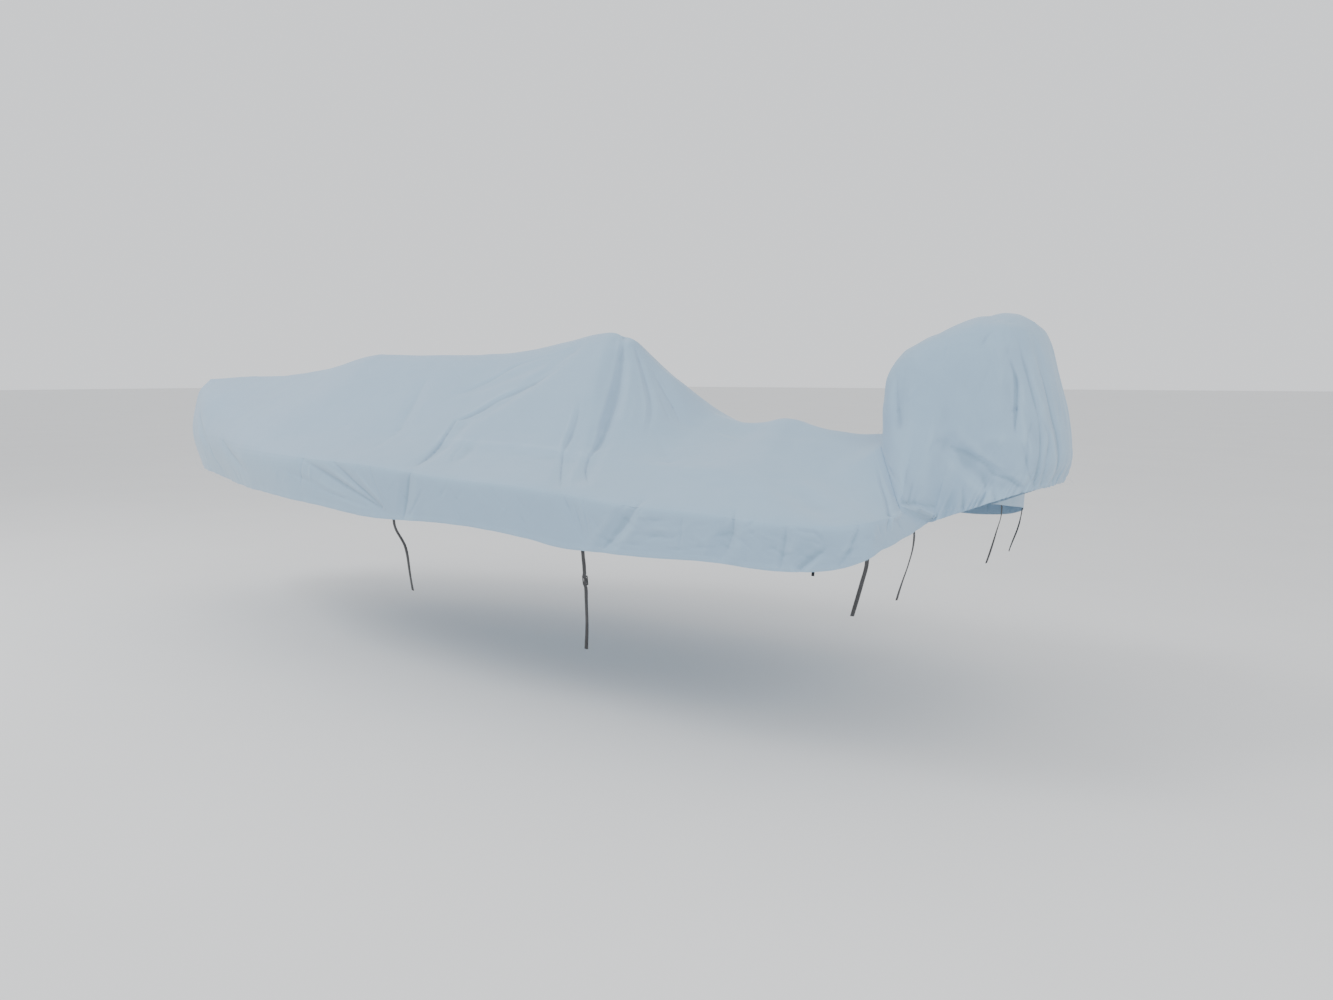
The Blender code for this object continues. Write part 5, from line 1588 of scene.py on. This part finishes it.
class Value:
    """A number, colour or vector on its way through a finish."""

    def __init__(self, finish, socket):
        self.finish = finish
        self.socket = socket

    def maths(self, operation, *others):
        """The result of a Math node on this value and the others."""
        sockets = dict(enumerate((self, *others)))
        return self.finish.add("ShaderNodeMath", {"operation": operation}, sockets)

    def __add__(self, other):
        return self.maths("ADD", other)

    def __sub__(self, other):
        return self.maths("SUBTRACT", other)

    def __rsub__(self, other):
        return self.maths("MULTIPLY", -1.0).maths("ADD", other)

    def __mul__(self, other):
        return self.maths("MULTIPLY", other)

    __radd__ = __add__
    __rmul__ = __mul__

    def sine(self):
        return self.maths("SINE")

    def between(self, low, high):
        """From 0 at low to 1 at high, with soft ends."""
        sockets = {"Value": self, "From Min": low, "From Max": high}
        return self.finish.add("ShaderNodeMapRange", {"interpolation_type": "SMOOTHSTEP"}, sockets)


# %% A finish, with its nodes


class Finish:
    """A material in the making."""

    def __init__(self, name):
        self.material = bpy.data.materials.new(name)
        self.material.use_nodes = True
        self.tree = self.material.node_tree
        self.shader = self.tree.nodes["Principled BSDF"]

    def put(self, socket, value):
        """Gives a socket a link or a plain value."""
        if isinstance(value, Value):
            self.tree.links.new(value.socket, socket)
        else:
            socket.default_value = value

    def add(self, kind, settings=None, sockets=None, output=0):
        """A new node of a kind: its settings come first, and then its sockets, by name or number."""
        node = self.tree.nodes.new(kind)
        for name, value in (settings or {}).items():
            setattr(node, name, value)
        for name, value in (sockets or {}).items():
            self.put(node.inputs[name], value)
        return Value(self, node.outputs[output])

    def in_space(self):
        """The place of each point in space, as the piece stands at rest."""
        return self.add("ShaderNodeTexCoord", output="Object")

    def laid_flat(self):
        """The place of each point on the flat cloth, from the UV map, and its two numbers."""
        place = self.add("ShaderNodeUVMap", {"uv_map": "UVMap"})
        first = self.add("ShaderNodeSeparateXYZ", {}, {"Vector": place})
        return place, first, Value(self, first.socket.node.outputs[1])

    def noise(self, place, scale, detail=2.0, rough=0.5):
        sockets = {"Vector": place, "Scale": scale, "Detail": detail, "Roughness": rough}
        return self.add("ShaderNodeTexNoise", {}, sockets)

    def blend(self, share, first, second):
        """From the first colour to the second, by a share."""
        sockets = {0: share, 6: first, 7: second}
        return self.add("ShaderNodeMix", {"data_type": "RGBA"}, sockets, output=2)

    def bump(self, height, distance, strength=1.0, normal=None):
        sockets = {"Height": height, "Distance": distance, "Strength": strength}
        if normal:
            sockets["Normal"] = normal
        return self.add("ShaderNodeBump", {}, sockets)

    def use(self, **sockets):
        """Puts values on the shader's own sockets."""
        for name, value in sockets.items():
            self.put(self.shader.inputs[name.replace("_", " ").title()], value)

    def give(self, *pieces):
        """Gives the finish to pieces, in place of any they had."""
        for piece in pieces:
            piece.data.materials.clear()
            piece.data.materials.append(self.material)
        print("Finish", self.material.name, "on", len(pieces), "pieces")


# %% [markdown]
# ## Coated polyester
#
# Cover cloth is a plain weave of polyester with a coat on its inner side. The threads are half a millimetre
# wide, so the weave only shows from close by, as a fine grain over one thread up and one thread down. From
# further off the cloth is matt and even, with soft patches where the sun, the dust and the folding have
# changed it. The hollows of the creases get painted shade, a darker colour, and their ridges are worn a little
# paler.

# %% Cloth finish
cloth = Finish("coated polyester")
flat_place, along_cloth, down_cloth = cloth.laid_flat()
solid_place = cloth.in_space()
depth = cloth.add("ShaderNodeAttribute", {"attribute_name": "hollow"}, {}, output="Fac")

THREAD = 0.00055  # from one thread to the next
warp = (along_cloth * (math.pi / THREAD)).sine()
weft = (down_cloth * (math.pi / THREAD)).sine()
weave = warp * weft
slub = cloth.noise(flat_place, 900.0, 1.0)
height = weave * 0.5 + slub * 0.6

patches = cloth.noise(solid_place, 1.6, 4.0, 0.55)
mottle = cloth.noise(solid_place, 11.0, 3.0, 0.6)
speck = cloth.noise(solid_place, 160.0, 2.0, 0.7)
shade = (patches - 0.5) * 0.55 + (mottle - 0.5) * 0.28 + (speck - 0.5) * 0.22
hollows = depth.between(0.0004, 0.0060)
ridges = (depth * -1.0).between(0.0004, 0.0050)

CLOTH_DARK = (0.256, 0.388, 0.520, 1.0)
CLOTH_PALE = (0.326, 0.472, 0.616, 1.0)
# Painted shade: the darker colour that the hollows of the creases are painted with.
CLOTH_PAINTED_SHADE = (0.198, 0.302, 0.410, 1.0)
CLOTH_RUBBED = (0.385, 0.538, 0.680, 1.0)
plain = cloth.blend(shade + 0.5, CLOTH_DARK, CLOTH_PALE)
# Painted shade: the colour darkens in the hollows of the creases, where shade would fall.
with_painted_shade = cloth.blend(hollows * 0.55, plain, CLOTH_PAINTED_SHADE)
painted_shade_and_rubbed = cloth.blend(ridges * 0.35, with_painted_shade, CLOTH_RUBBED)
cloth.use(
    base_color=painted_shade_and_rubbed,
    roughness=0.62 + (mottle - 0.5) * 0.12 + hollows * 0.08,
    normal=cloth.bump(height, 0.00012, 0.5, cloth.bump(mottle, 0.0012, 0.35)),
    sheen_weight=0.25,
    sheen_roughness=0.5,
)
cloth.shader.inputs["Specular IOR Level"].default_value = 0.38
cloth.give(*COVER)

# %% [markdown]
# ## Thread, webbing and plastic
#
# The thread is polyester too, a shade paler than the cloth, with a twist that shows from close by. Webbing is
# a dense weave with a rib across it every millimetre and a half. It was black and has gone grey on its high
# spots. The buckle is black acetal, which comes from the mould with a fine grain and is scuffed in patches.

# %% Thread finish
THREAD_DARK = (0.40, 0.47, 0.53, 1)
THREAD_PALE = (0.58, 0.65, 0.70, 1)
thread = Finish("sewing thread")
twist = thread.noise(thread.in_space(), 1400.0, 1.0)
thread.use(
    base_color=thread.blend(twist, THREAD_DARK, THREAD_PALE),
    roughness=0.55 + twist * 0.2,
    normal=thread.bump(twist, 0.0002, 0.4),
)
thread.give(*STITCHES.values())

# %% Webbing finish
WEBBING_RIB = 0.0016  # from one rib to the next
WEBBING_CORD = 0.0013  # from one lengthwise cord to the next
WEBBING_BLACK = (0.012, 0.012, 0.014, 1)
WEBBING_GREY = (0.085, 0.086, 0.092, 1)
strapping = Finish("webbing")
_, across_strap, along_strap = strapping.laid_flat()
waver = (across_strap * (math.pi / WEBBING_CORD)).sine() * 1.4
rib = (along_strap * (2 * math.pi / WEBBING_RIB) + waver).sine()
cords = (across_strap * (2 * math.pi / WEBBING_CORD)).sine()
strap_solid = strapping.in_space()
fuzz = strapping.noise(strap_solid, 900.0, 2.0)
worn = strapping.noise(strap_solid, 26.0, 3.0)
strapping.use(
    base_color=strapping.blend(rib * 0.18 + worn * 0.5 + fuzz * 0.2, WEBBING_BLACK, WEBBING_GREY),
    roughness=0.78 + fuzz * 0.15,
    normal=strapping.bump(rib * 0.5 + cords * 0.3 + fuzz * 0.25, 0.00035, 0.8),
    sheen_weight=0.15,
)
webbings = [piece for pieces in WEBBINGS.values() for piece in pieces if piece not in BUCKLES]
strapping.give(*webbings)

# %% Plastic finish
PLASTIC_BLACK = (0.010, 0.010, 0.011, 1)
PLASTIC_SCUFFED = (0.045, 0.046, 0.048, 1)
plastic = Finish("buckle plastic")
plastic_place = plastic.in_space()
grain = plastic.noise(plastic_place, 1500.0, 2.0)
scuff = plastic.noise(plastic_place, 90.0, 4.0, 0.65)
plastic.use(
    base_color=plastic.blend(scuff.between(0.45, 0.75), PLASTIC_BLACK, PLASTIC_SCUFFED),
    roughness=0.36 + scuff * 0.25,
    normal=plastic.bump(grain, 0.00015, 0.35),
)
plastic.give(*BUCKLES)

# %% [markdown]
# ## Floor and light
#
# The photograph was taken in the open under a thin white sky: the light comes from everywhere, and a little
# more from above and from the front of the cover. A white world gives the sky, one large soft lamp high over
# the bow end gives the rest, and a weaker one near the stern keeps the hood from going dull. The floor is
# plain and pale, and it lies on the ground that the cover's height is measured from.

# %% Floor
FLOOR_SIZE = 240
FLOOR_GREY = (0.74, 0.74, 0.735, 1)
FLOOR_PALE = (0.79, 0.79, 0.785, 1)
bpy.ops.object.select_all(action="DESELECT")
bpy.ops.mesh.primitive_plane_add(size=FLOOR_SIZE, location=(0, 0, -PEAK_UP))
floor = bpy.context.object
floor.name = "studio_floor"
bpy.ops.object.transform_apply(location=True, rotation=True, scale=True)
ground = Finish("studio floor")
patchy = ground.noise(ground.in_space(), 0.8, 3.0)
ground.use(base_color=ground.blend(patchy, FLOOR_GREY, FLOOR_PALE), roughness=0.9)
ground.give(floor)

# %% Light
world = bpy.data.worlds.new("white sky")
bpy.context.scene.world = world
world.use_nodes = True
sky = world.node_tree.nodes["Background"]
sky.inputs["Color"].default_value = (0.95, 0.97, 1.0, 1)
sky.inputs["Strength"].default_value = 1.15


def soft_lamp(name, place, target, size, power):
    """A large square lamp at a place, turned to its target."""
    lamp = bpy.data.objects.new(name, bpy.data.lights.new(name, "AREA"))
    bpy.context.scene.collection.objects.link(lamp)
    lamp.data.shape = "SQUARE"
    lamp.data.size = size
    lamp.data.energy = power
    lamp.location = place
    lamp.rotation_euler = (Vector(target) - Vector(place)).to_track_quat("-Z", "Y").to_euler()
    print("Lamp", name, "at", place)


soft_lamp("key", (-5.5, -5.0, 5.5), (-0.5, 0.0, -0.5), 4.0, 420)
soft_lamp("fill", (7.0, -5.0, 2.5), (1.0, -0.5, -0.5), 4.0, 240)
